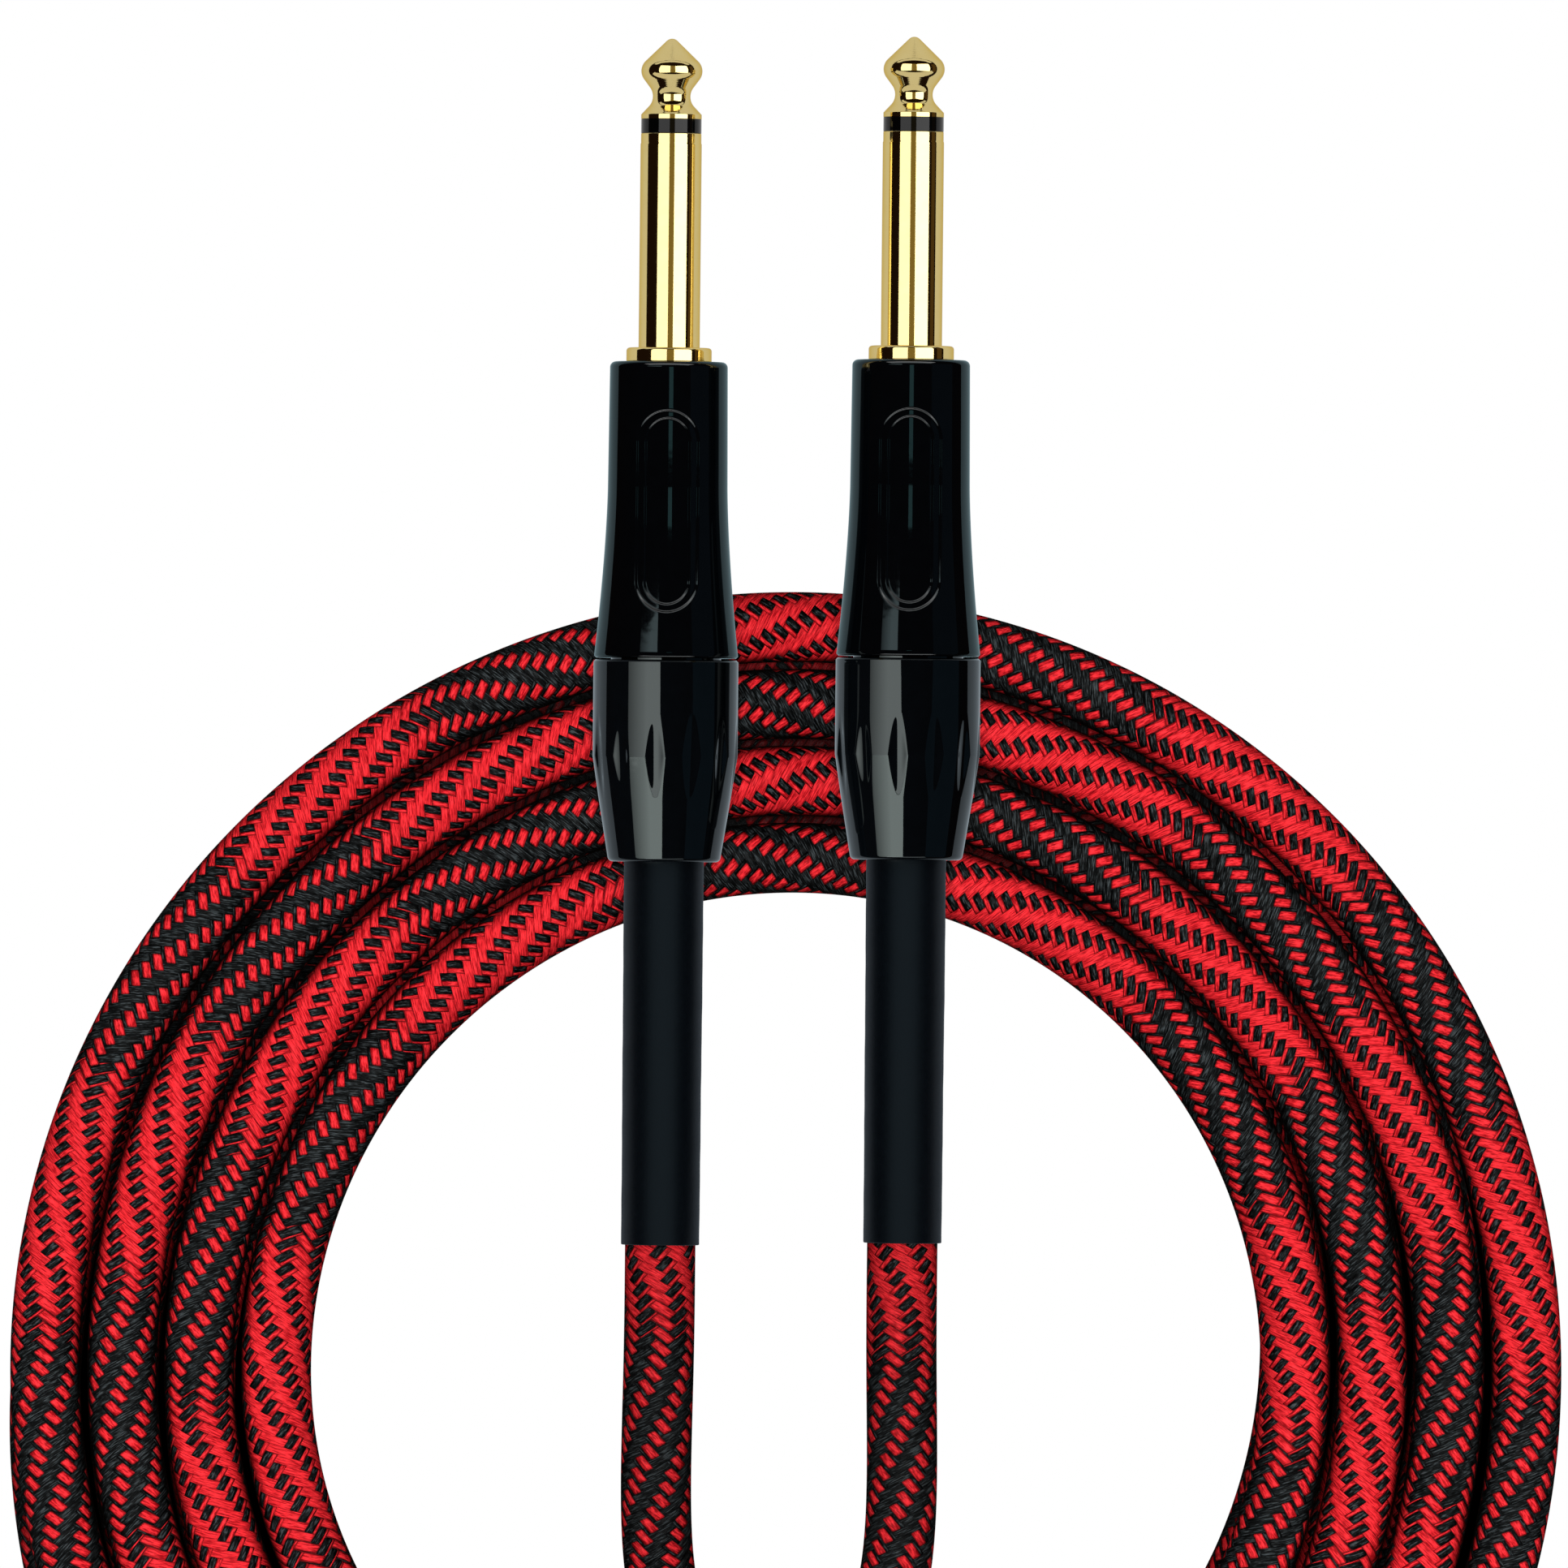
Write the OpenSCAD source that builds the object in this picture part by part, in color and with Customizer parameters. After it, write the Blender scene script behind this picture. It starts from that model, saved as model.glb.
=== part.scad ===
// Instrument cable: a braided cable wound in a two-layer coil, with a straight
// two-pole 6.35 mm jack plug at each end. The plugs lie side by side across the coil.
//
// Frame: +Z up, +Y from the coil towards the plugs' tips, origin in the middle of the
// whole object's footprint, on the surface that the coil lies on.
// Each plug is drawn along its own axis: z = 0 at the tip's apex, growing towards the
// cable, with +y up. Modules that end in _axis put such a shape in its place.

/* [Cable] */
// Outer diameter of the braided cable
cord_d = 7.3; // [6.5:0.05:7.4]
// Free space between neighbouring strands of one layer
strand_gap = 0.7; // [0.5:0.05:1.5]
// Radius of the coil's outermost full turn, to the middle of the strand
coil_r = 79.2; // [78:0.2:90]
// How far the climbing strand swings out to pass from layer to layer
climb_bulge = 3.3; // [3:0.1:6]
// How far the hand-laid strands swing out and in, twice a turn
hand_swing = 0.7; // [0:0.1:1]
// Diameter of the insulated core inside the cable
core_d = 2.8; // [2:0.1:3.4]
// Diameter of the core's bare wire
wire_d = 1; // [0.6:0.1:1.2]
// Diameter of the twisted shield pigtail
pigtail_d = 1.1; // [0.8:0.1:1.3]

/* [Plug contacts] */
// Distance between the two plugs' axes
plug_spacing = 25.1; // [18:0.1:27]
// Distance of plug a's tip from the coil's middle
tip_reach = 138; // [134:0.5:150]
// How far plug b lies ahead of plug a
plug_b_ahead = 0.45; // [0:0.05:2]
// Diameter of the plug's sleeve, the standard quarter-inch jack
sleeve_d = 6.35; // [6.3:0.05:6.4]
// Length of the tip, from its apex to the insulator ring
tip_len = 8.33; // [8.2:0.01:8.6]
// Largest diameter of the tip's nose
nose_d = 6.34; // [6.2:0.02:6.34]
// Diameter of the tip's neck
neck_d = 3.9; // [3.8:0.1:4.1]
// Diameter of the tip's edge next to the insulator ring
tip_edge_d = 6.28; // [6.2:0.02:6.34]
// Diameter of the insulator ring
ring_d = 6.26; // [6.24:0.02:6.32]
// Length of the insulator ring
ring_len = 1.51; // [1.2:0.01:1.8]
// Length of the sleeve, from the ring to the collar
sleeve_len = 22.2; // [21:0.1:23]
// Length of the slightly thinner band at the sleeve's front
band_len = 1; // [0.5:0.1:2]
// Diameter of that band
band_d = 6.26; // [6.24:0.02:6.32]
// Diameter of the collar
collar_d = 8.85; // [8.4:0.05:9.4]
// Length of the collar
collar_len = 1.45; // [1.2:0.05:2]
// Diameter of the sleeve's rear body, which holds it in the housing
rear_body_d = 8; // [7.4:0.1:8.3]
// Diameter of the tip's centre rod
rod_d = 2.4; // [2:0.1:2.6]
// Wall of the insulating tube round the rod
rod_tube_wall = 0.7; // [0.5:0.05:0.9]

/* [Solder lugs] */
// Room for the soldering, from the sleeve's rear body to the cable's jacket
solder_room = 9.7; // [9.2:0.1:10.5]
// Thickness of the lugs' sheet metal
lug_t = 0.5; // [0.4:0.05:0.6]
// Width of the lugs' strips
lug_w = 2.4; // [1.8:0.1:2.6]
// Outer diameter of the tip lug's washer
tip_lug_d = 5.2; // [5:0.1:5.6]
// Length of the tip lug's strip behind its washer
tip_lug_len = 5.5; // [4.5:0.1:6.5]
// Thickness of the rear insulator washer
washer_t = 1; // [0.7:0.1:1.3]
// Diameter of the rear insulator washer
washer_d = 6.6; // [6:0.1:6.8]
// Thickness of the clamp wings on the ground lug
wing_t = 0.45; // [0.3:0.05:0.5]
// Length of the clamp wings along the cable
wing_len = 3.4; // [2.5:0.1:4]
// Diameter of a solder joint
solder_d = 1.7; // [1.4:0.1:1.9]

/* [Housing] */
// Length of the housing
housing_len = 30.7; // [30.4:0.1:33]
// Diameter of the housing's front
housing_front_d = 12.2; // [11.8:0.1:12.6]
// Diameter of the housing where it meets the tail cap
housing_rear_d = 14.9; // [14.7:0.1:15.4]
// Length of the concave flare at the housing's rear
flare_len = 18; // [12:0.5:20]
// Diameter of the housing where the flare starts
flare_d = 12.4; // [12.3:0.1:13]
// How far the sleeve's rear body reaches into the housing's inner space
rear_body_out = 2; // [1.5:0.1:3]
// Wall of the insulating tube that lines the housing
liner_wall = 0.4; // [0.3:0.05:0.45]
// Diameter of the housing's inner space
cavity_d = 9.8; // [9.7:0.05:10.1]
// Length of the recessed panel
panel_len = 20.85; // [16:0.05:22]
// Width of the recessed panel
panel_w = 6.4; // [5:0.1:7]
// Distance of the panel's front end from the housing's front
panel_from = 5.1; // [4:0.1:7]
// Depth of each of the panel's two steps
panel_step = 0.22; // [0.1:0.01:0.3]
// Width of the panel's rim
panel_rim = 0.8; // [0.5:0.1:1.2]

/* [Tail cap] */
// Length of the tail cap
cap_len = 20.9; // [20.5:0.1:24]
// Diameter of the tail cap
cap_d = 15; // [14.8:0.1:15.6]
// Length of the cap's straight part
cap_straight = 10; // [9:0.1:11.5]
// Diameter of the cap's rear end
cap_end_d = 11.7; // [11.2:0.1:12.4]
// Gap between housing and cap when it is screwed home
seam_gap = 0.2; // [0.15:0.05:0.4]
// Diameter of the cap's threaded neck
neck_thread_d = 11.4; // [11.3:0.05:11.7]
// Length of the cap's threaded neck
neck_len = 6.5; // [6:0.1:7]
// Pitch of the cap's thread
thread_pitch = 1; // [0.75:0.05:1.25]
// Number of finger flutes
flutes = 12; // [6:1:14]
// Length of a flute
flute_len = 7.9; // [6:0.1:9]
// Radius of the cutter that makes a flute
flute_cutter_r = 2.1; // [1.2:0.1:3]

/* [Chuck and heat-shrink] */
// Length of the chuck
chuck_len = 18; // [15:0.5:18.5]
// Outer diameter of the chuck
chuck_d = 9.8; // [9.7:0.05:10.1]
// Diameter of the chuck's tapered rear end
chuck_end_d = 8.8; // [8.7:0.05:9.2]
// Length of the chuck's taper
chuck_taper = 5; // [3:0.5:6]
// Width of the chuck's slots
slot_w = 0.8; // [0.4:0.1:1.2]
// Number of the chuck's slots
slots = 4; // [2:1:6]
// Diameter of the heat-shrink tube where it leaves the cap
shrink_d = 8.3; // [8.2:0.05:8.5]
// Diameter of the heat-shrink tube's far end
shrink_end_d = 8.15; // [8.05:0.05:8.5]
// Length of the heat-shrink tube that shows
shrink_len = 39.7; // [25:0.1:45]
// Length of the heat-shrink tube inside the cap
shrink_in = 2.6; // [2:0.1:2.8]

/* [Fits] */
// Radial clearance between pieces of one body
fit_gap = 0.05; // [0.03:0.01:0.08]
// Radial clearance of the cap's thread in the housing
thread_gap = 0.08; // [0.05:0.01:0.1]
// Clearance between the chuck and the cap or the cable
chuck_gap = 0.1; // [0.05:0.01:0.15]
// How far the heat-shrink's bore is smaller than the cable, in radius
shrink_grip = 0.05; // [0.02:0.01:0.1]
// Radial clearance between the cap's rear opening and the heat-shrink
shrink_gap = 0.25; // [0.2:0.05:0.4]
// Height of the caps above the coil
rest_gap = 0.4; // [0.3:0.05:1]

/* [Hidden] */

$fn = 96;
over = 1;               // how far a cutter reaches past what it cuts

// --- places along a plug's axis, from the tip's apex
ring_z = tip_len;
sleeve_z = ring_z + ring_len;
collar_z = sleeve_z + sleeve_len;
housing_z = collar_z + collar_len;
seam_z = housing_z + housing_len;
cap_z = seam_z + seam_gap;
bend_z = cap_z + cap_straight;               // where the cap's taper begins
cap_end_z = cap_z + cap_len;
neck_z = cap_z - neck_len;
thread_z = neck_z - 0.5;                     // start of the housing's threaded bore
chuck_z = neck_z;
chuck_end_z = chuck_z + chuck_len;
shrink_z = cap_end_z - shrink_in;
shrink_end_z = cap_end_z + shrink_len;
wing_z = chuck_z - wing_len - 1;             // front of the ground lug's clamp wings
jacket_z = wing_z - 0.3;                     // where the cable's jacket is cut back
rear_z = jacket_z - solder_room;             // rear face of the sleeve's rear body
cavity_z = rear_z - rear_body_out;
spigot_len = lug_t + 0.5;                    // spigot that the ground lug is riveted on
spigot_end_z = rear_z + spigot_len;
tip_lug_z = spigot_end_z + washer_t;
rivet_z = tip_lug_z + lug_t;
rivet_len = 0.5;
travel = 5 * thread_pitch;                   // how far five turns move the cap

// --- radii inside a plug
rod_r = rod_d / 2;
rod_tube_r = rod_r + fit_gap + rod_tube_wall;
cord_r = cord_d / 2;
cavity_r = cavity_d / 2;
liner_r = cavity_r - fit_gap;
liner_inner_r = liner_r - liner_wall;
neck_bore_r = chuck_d / 2 + chuck_gap;
wing_r = cord_r + fit_gap;
strip_y = -wing_r - wing_t;                  // outer face of the ground lug's strip
tip_strip_y = tip_lug_d / 2;                 // outer face of the tip lug's strip
wire_end_z = rivet_z + rivet_len + 1.3;      // where the core's wire is soldered
core_end_z = jacket_z - 3;                   // where the core's insulation is stripped
spigot_r = 3.2;

// --- the coil: places in its own frame, whose origin lies between the plugs' axes
pitch = cord_d + strand_gap;
rings_per_turn = 24;
ring_step = 360 / rings_per_turn;
coil_shift = -1.4;      // puts the middle of the spiral's upper half on the outer circle
start_a = -30;          // the turns run anticlockwise from here, in the lower layer,
climb_a = 900;          // outwards to here, climb to the upper layer
top_a = 1080;           // up to here, and run inwards again
end_a = 2385;           // to here
swing_a = 47;           // where the strands lie furthest out
floor_cut = cord_d / 10;
low_z = cord_r - floor_cut;
high_z = cord_r + cord_d;
plug_axis_z = high_z + cord_r + rest_gap + cap_d / 2;

function smooth(t) = t * t * (3 - 2 * t);
function spiral_r(a) =
    a <= climb_a ? coil_r - pitch / 2 - pitch * (climb_a - a) / 360 :
    a < top_a ? coil_r - pitch / 2 * (top_a - a) / 180 + climb_bulge * sin(a - climb_a) :
    coil_r - pitch * (a - top_a) / 360;
function turn_r(a) = spiral_r(a) + hand_swing * cos(2 * (a - swing_a));
function turn_z(a) =
    a <= climb_a ? low_z :
    a < top_a ? low_z + (high_z - low_z) * smooth((a - climb_a) / 180) : high_z;
function turn_point(a) = [coil_shift + turn_r(a) * cos(a), turn_r(a) * sin(a), turn_z(a)];
function unit(v) = v / norm(v);
function turn_dir(a) = unit(turn_point(a + 1) - turn_point(a - 1));

// The turns' middle line, straight for one diameter at each end. The ends lean inwards,
// so that the tails come off clear of the next turn.
end_lean = 12;
function turned_by(v, a) = unit([v.x * cos(a) - v.y * sin(a), v.x * sin(a) + v.y * cos(a), 0]);
in_dir = turned_by(turn_dir(start_a), -end_lean);
out_dir = turned_by(turn_dir(end_a), end_lean);
coil_in = turn_point(start_a) - cord_d * in_dir;
coil_out = turn_point(end_a) + cord_d * out_dir;
coil_line = concat([coil_in], [for (a = [start_a:ring_step:end_a]) turn_point(a)], [coil_out]);

// Least distance between strands that pass each other, less their diameter
far = rings_per_turn / 2;
function mids(line) = [for (i = [0:len(line) - 2]) (line[i] + line[i + 1]) / 2];
function self_gap(line) = min([for (i = [0:len(line) - far - 1])
    min([for (j = [i + far:len(line) - 1]) norm(line[i] - line[j])])]) - cord_d;
coil_gap = min(self_gap(coil_line), self_gap(mids(coil_line)));

// --- the tails: guide points from the plug to the coil, chosen by hand
plug_x = plug_spacing / 2;
jacket_y = tip_reach - jacket_z;
shrink_end_y = tip_reach - shrink_end_z;
axis_y = [for (s = [53, 39, 26, 13, 0]) shrink_end_y + s];   // stations on the plug's axis
tail_a_guides = [
    [-12.5, 0, 22.5], [-13, -15, 18.5], [-12, -27, 14.5], [-5.5, -38, 9.5],
    [6, -45, 5.5], [20, -46, 3], [32.5, -41, 3]];
tail_b_guides = [
    [12.5, 0, 22.5], [13, -14, 22.5], [12, -26.5, 22], [5, -38, 19.5],
    [-6.5, -44.5, 15.5], [-19.5, -44.5, 12]];
guide_step = 14;                             // their usual distance from each other
guide_top = 13;                              // they are drawn for a heat-shrink that ends here,
guide_low = -49;                             // and lie closer over this line where it ends lower
guide_scale = (shrink_end_y - guide_low) / (guide_top - guide_low);
function fitted(g) = [g.x, guide_low + (g.y - guide_low) * guide_scale, g.z];

function ahead(side) = side > 0 ? plug_b_ahead : 0;
// All guides of a tail. The last two bring its end onto the coil's end, in line with it.
function tail_guides(side, guides, end, dir) =
    let (free = [for (g = guides) fitted(g)], near = free[len(free) - 1],
        beyond = near + 2 * guide_step * dir)
    concat([for (y = concat([jacket_y + ahead(side)], axis_y)) [side * plug_x, y, plug_axis_z]], free,
        [(6 * end - near - beyond) / 4, beyond]);
// Points of a uniform cubic B-spline, one at each guide, the first on the first guide
function tail_line(g) = concat([g[0]],
    [for (i = [1:len(g) - 2]) (g[i - 1] + 4 * g[i] + g[i + 1]) / 6]);
tail_a_line = tail_line(tail_guides(-1, tail_a_guides, coil_in, in_dir));
tail_b_line = tail_line(tail_guides(1, tail_b_guides, coil_out, -out_dir));

// Least distance between two cords that pass each other, less their diameter
function quarters(line) = [for (i = [0:len(line) - 2], k = [0:3])
    line[i] + (line[i + 1] - line[i]) * k / 4];
function gap_between(a, b) = min([for (p = quarters(a))
    min([for (q = quarters(b)) norm(p - q)])]) - cord_d;
tail_gap = gap_between(tail_a_line, tail_b_line);
// the coil without its first or last three pieces, which a tail is joined to
inner_part = [for (i = [3:len(coil_line) - 1]) coil_line[i]];
outer_part = [for (i = [0:len(coil_line) - 4]) coil_line[i]];
tail_coil_gap = min(gap_between(tail_a_line, inner_part), gap_between(tail_b_line, outer_part));

function total(v, i = 0) = i < len(v) ? v[i] + total(v, i + 1) : 0;
function line_length(line) = total([for (i = [1:len(line) - 1]) norm(line[i] - line[i - 1])]);

// --- the whole object's footprint
coil_xs = [for (p = coil_line) p.x];
coil_ys = [for (p = coil_line) p.y];
origin = [
    (min(coil_xs) + max(coil_xs)) / 2,
    (min(coil_ys) - cord_r + tip_reach + plug_b_ahead) / 2, 0];

echo(least_gap_of_the_coil_to_itself_mm = coil_gap);
echo(least_gap_between_the_tails_mm = tail_gap);
echo(least_gap_of_the_tails_to_the_coil_mm = tail_coil_gap);
echo(travel_of_an_unscrewed_cap_mm = travel);
echo(length_of_the_jacket_m =
    (line_length(coil_line) + line_length(tail_a_line) + line_length(tail_b_line)) / 1000);

// --- colours
gold = "#D8B45C";
black_lacquer = "#16181B";
black_plastic = "#1B1D20";
black_shrink = "#11161A";
braid_red = "#C0141D";
tinned = "#C4C7CA";
copper = "#B87A4B";
milky = "#E6E4DA";
solder_grey = "#A9ACB0";
chuck_grey = "#4A4D50";

// --- shared shapes
// Points of an arc from angle a to angle b
function arc(c, r, a, b, n = 8) =
    [for (i = [0:n]) let (t = a + (b - a) * i / n) [c.x + r * cos(t), c.y + r * sin(t)]];
// Height of the centre of a second arc at radius x, which shares a tangent with the first.
// The tangent's normal points along angle a, and a hollow arc has a negative radius.
function tangent_z(c, r, x, r2, a) =
    (c.x * cos(a) + c.y * sin(a) + r - r2 - x * cos(a)) / sin(a);

// A solid of revolution about z, from an outline of [radius, z]
module turned(outline) rotate_extrude() polygon(outline);

// A ring or tube from z = a to z = b
module tube(a, b, r, bore) difference() {
    translate([0, 0, a]) cylinder(r = r, h = b - a);
    translate([0, 0, a - over]) cylinder(r = bore, h = b - a + 2 * over);
}

// A straight round bar with round ends between two points of the plane x = 0
module bar(p, q, r) {
    d = q - p;
    translate([0, p.x, p.y]) rotate([-atan2(d.x, d.y), 0, 0]) cylinder(r = r, h = norm(d));
    translate([0, p.x, p.y]) sphere(r = r);
    translate([0, q.x, q.y]) sphere(r = r);
}

// A cord swept along a line of points, with the direction that each ring faces.
// Nothing of it goes below the surface that it lies on.
module cord(line, dirs, sides) {
    rings = [for (i = [0:len(line) - 1])
        let (side = unit(cross(dirs[i], [0, 0, 1])), up = cross(side, dirs[i]))
        [for (k = [0:sides - 1])
            let (a = 360 * k / sides, p = line[i] + cord_r * (cos(a) * side + sin(a) * up))
            [p.x, p.y, max(p.z, 0)]]];
    points = [for (ring = rings) each ring];
    last = (len(line) - 1) * sides;
    faces = concat(
        [[for (k = [sides - 1:-1:0]) k]],
        [for (i = [0:len(line) - 2], k = [0:sides - 1])
            let (a = i * sides + k, b = i * sides + (k + 1) % sides) each [
                [a, b, b + sides], [a, b + sides, a + sides]]],
        [[for (k = [0:sides - 1]) last + k]]);
    translate(-origin) polyhedron(points, faces);
}

// Puts a shape from a plug's own axis to plug a (side -1) or plug b (side 1)
module at_plug(side)
    translate([side * plug_x, tip_reach + ahead(side), plug_axis_z] - origin)
    rotate([90, 0, 0]) children();

// --- the cable
module cable_coil() color(braid_red)
    cord(coil_line, concat([in_dir],
        [for (a = [start_a:ring_step:end_a]) turn_dir(a)], [out_dir]), 6);

module cable_tail(line, end_dir) color(braid_red)
    cord(line, [for (i = [0:len(line) - 1])
        i == 0 ? [0, -1, 0] :
        i == len(line) - 1 ? end_dir : unit(line[i + 1] - line[i - 1])], 12);

// --- the plug's contacts
nose_r = 0.8;
shoulder_r = 1.45;
hollow_r = 1.53;
lip_r = 0.1;
rivet_r = 1.9;
cone_a = 46;            // slopes of the tip's straight parts: its cone,
back_a = 36.5;          // the fall behind the nose
lip_a = 43.2;           // and the rise to the lip
shoulder = [nose_d / 2 - shoulder_r,
    tangent_z([0, nose_r], nose_r, nose_d / 2 - shoulder_r, shoulder_r, -cone_a)];
hollow = [neck_d / 2 + hollow_r,
    tangent_z(shoulder, shoulder_r, neck_d / 2 + hollow_r, -hollow_r, back_a)];
lip = [tip_edge_d / 2 - lip_r,
    tangent_z(hollow, -hollow_r, tip_edge_d / 2 - lip_r, lip_r, -lip_a)];

module tip() color(gold) turned(concat(
    arc([0, nose_r], nose_r, -90, -cone_a, 5),
    arc(shoulder, shoulder_r, -cone_a, back_a, 10),
    arc(hollow, hollow_r, 180 + back_a, 180 - lip_a, 12),
    arc(lip, lip_r, -lip_a, 0, 3),
    [[tip_edge_d / 2, tip_len], [rod_r, tip_len], [rod_r, rivet_z],
     [rivet_r, rivet_z], [rivet_r, rivet_z + rivet_len], [0, rivet_z + rivet_len]]));

module insulator_ring() color(black_plastic) union() {
    tube(ring_z, sleeve_z, ring_d / 2, rod_r + fit_gap);
    tube(sleeve_z, spigot_end_z, rod_tube_r, rod_r + fit_gap);
}

module sleeve() color(gold) {
    band_end = sleeve_z + band_len;
    collar_edge = 0.35;
    collar_r = collar_d / 2;
    bore = rod_tube_r + fit_gap;
    turned(concat(
        [[bore, sleeve_z], [band_d / 2, sleeve_z], [band_d / 2, band_end],
         [sleeve_d / 2, band_end], [sleeve_d / 2, collar_z]],
        arc([collar_r - collar_edge, collar_z + collar_edge], collar_edge, -90, 0, 5),
        [[collar_r, housing_z], [rear_body_d / 2, housing_z], [rear_body_d / 2, rear_z],
         [spigot_r, rear_z], [spigot_r, spigot_end_z], [bore, spigot_end_z]]));
}

// --- the solder side
module rear_insulator() color(milky)
    tube(spigot_end_z, tip_lug_z, washer_d / 2, rod_r + fit_gap);

lug_hole_r = 0.6;
module tip_lug() color(tinned) difference() {
    union() {
        translate([0, 0, tip_lug_z]) cylinder(d = tip_lug_d, h = lug_t);
        translate([-lug_w / 2, tip_strip_y - lug_t, tip_lug_z])
            cube([lug_w, lug_t, lug_t + tip_lug_len]);
    }
    translate([0, 0, tip_lug_z - over]) cylinder(r = rod_r + fit_gap, h = lug_t + 2 * over);
    translate([0, tip_strip_y + over, rivet_z + tip_lug_len - 2 * lug_hole_r])
        rotate([90, 0, 0]) cylinder(r = lug_hole_r, h = lug_t + 2 * over);
}

module ground_lug() color(tinned) difference() {
    union() {
        translate([0, 0, rear_z]) cylinder(r = -strip_y, h = lug_t);
        translate([-lug_w / 2, strip_y, rear_z]) cube([lug_w, lug_t, wing_z + wing_len - rear_z]);
        // the wings: a ring that is open at the top
        difference() {
            translate([0, 0, wing_z]) cylinder(r = wing_r + wing_t, h = wing_len);
            translate([-lug_w / 2, 0, wing_z - over])
                cube([lug_w, 2 * wing_r, wing_len + 2 * over]);
        }
    }
    translate([0, 0, rear_z - over]) cylinder(r = spigot_r + fit_gap, h = lug_t + 2 * over);
    translate([0, 0, wing_z - over]) cylinder(r = wing_r, h = wing_len + 2 * over);
}

module insulating_tube() color(milky) tube(cavity_z, thread_z, liner_r, liner_inner_r);

module core_insulation() color(milky) difference() {
    translate([0, 0, core_end_z]) cylinder(d = core_d, h = jacket_z - core_end_z);
    translate([0, 0, core_end_z - over]) cylinder(d = wire_d, h = jacket_z - core_end_z + 2 * over);
}

// The wire runs through its insulation and bends over to the tip lug
wire_r = wire_d / 2;
wire_bend = [0, core_end_z - 0.8];
wire_end = [tip_strip_y - lug_t - wire_r, wire_end_z];
module core_wire() color(copper) {
    translate([0, 0, wire_bend.y]) cylinder(r = wire_r, h = jacket_z - wire_bend.y);
    bar(wire_bend, wire_end, wire_r);
}

// The twisted screen comes out of the jacket and lies on the ground lug
pigtail_r = pigtail_d / 2;
pigtail_end = [strip_y + lug_t + pigtail_r, jacket_z - 2.7];
module shield_pigtail() color(copper) translate([0, pigtail_end.x, pigtail_end.y])
    cylinder(r = pigtail_r, h = jacket_z - pigtail_end.y);

// A drop of solder round a wire's end, flat where it wets the lug: from y = face on,
// in the direction side
module solder_drop(place, face, side) difference() {
    translate([0, place.x, place.y]) sphere(d = solder_d);
    translate([0, face + side * solder_d, place.y]) cube(2 * solder_d, center = true);
}
module solder_joints() color(solder_grey) {
    difference() {
        solder_drop(wire_end, tip_strip_y - lug_t, 1);
        core_wire();
    }
    difference() {
        solder_drop(pigtail_end, strip_y + lug_t, -1);
        shield_pigtail();
    }
}

// --- the housing
flare_z = seam_z - flare_len;
front_edge = 0.6;
rim_edge = 0.2;
flare_power = 1.55;     // of the flare's curve: 1 is a cone
function flare_r(t) = flare_d / 2 + (housing_rear_d - flare_d) / 2 * pow(t, flare_power);
// The housing's outer outline, drawn in by inset
function housing_outline(inset) = concat(
    [[0, housing_z + inset]],
    arc([housing_front_d / 2 - front_edge, housing_z + front_edge], front_edge - inset, -90, 0, 6),
    [for (i = [0:14]) let (t = i / 14) [flare_r(t) - inset, flare_z + t * (flare_len - rim_edge)]],
    [[housing_rear_d / 2 - rim_edge - inset, seam_z], [0, seam_z]]);

// A plate with round ends, over the top of the housing
module stadium(width, length) {
    middle = housing_z + panel_from + panel_len / 2;
    run = (length - width) / 2;
    height = housing_rear_d;
    translate([0, 0, middle]) rotate([-90, 0, 0]) {
        for (s = [-1, 1]) translate([0, s * run, 0]) cylinder(d = width, h = height);
        translate([-width / 2, -run, 0]) cube([width, 2 * run, height]);
    }
}

module panel_cut(width, length, depth) difference() {
    stadium(width, length);
    turned(housing_outline(depth));
}

module housing() color(black_lacquer) difference() {
    turned(housing_outline(0));
    panel_cut(panel_w, panel_len, panel_step);
    panel_cut(panel_w - 2 * panel_rim, panel_len - 2 * panel_rim, 2 * panel_step);
    translate([0, 0, housing_z - over])
        cylinder(r = rear_body_d / 2 + fit_gap, h = cavity_z - housing_z + 2 * over);
    translate([0, 0, cavity_z]) cylinder(r = cavity_r, h = housing_len);
    translate([0, 0, thread_z]) cylinder(r = neck_thread_d / 2 + thread_gap, h = housing_len);
}

// --- chuck, tail cap and heat-shrink
module chuck() color(chuck_grey) difference() {
    root = chuck_z + 4;                      // the slots stop short of the front
    turned([[cord_r + chuck_gap, chuck_z], [chuck_d / 2, chuck_z],
        [chuck_d / 2, chuck_end_z - chuck_taper], [chuck_end_d / 2, chuck_end_z],
        [cord_r + chuck_gap, chuck_end_z]]);
    for (k = [0:slots - 1]) rotate([0, 0, 360 * k / slots + 45])
        translate([0, -slot_w / 2, root]) cube([chuck_d, slot_w, chuck_len]);
}

cap_r = cap_d / 2;
cap_taper = atan((cap_r - cap_end_d / 2) / (cap_len - cap_straight));
flute_drop = flute_len / 2 * tan(cap_taper); // how far the taper falls over half a flute
flute_lean = atan(flute_drop / flute_len);
flute_turn = 8;                              // the first flute's turn from the top
module flute() rotate([0, 0, 90 + flute_turn])
    translate([cap_r - flute_drop / 2 + flute_cutter_r * cos(flute_lean), 0,
        bend_z + flute_cutter_r * sin(flute_lean)])
    rotate([0, -flute_lean, 0]) cylinder(r = flute_cutter_r, h = 2 * flute_len, center = true);

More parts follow.
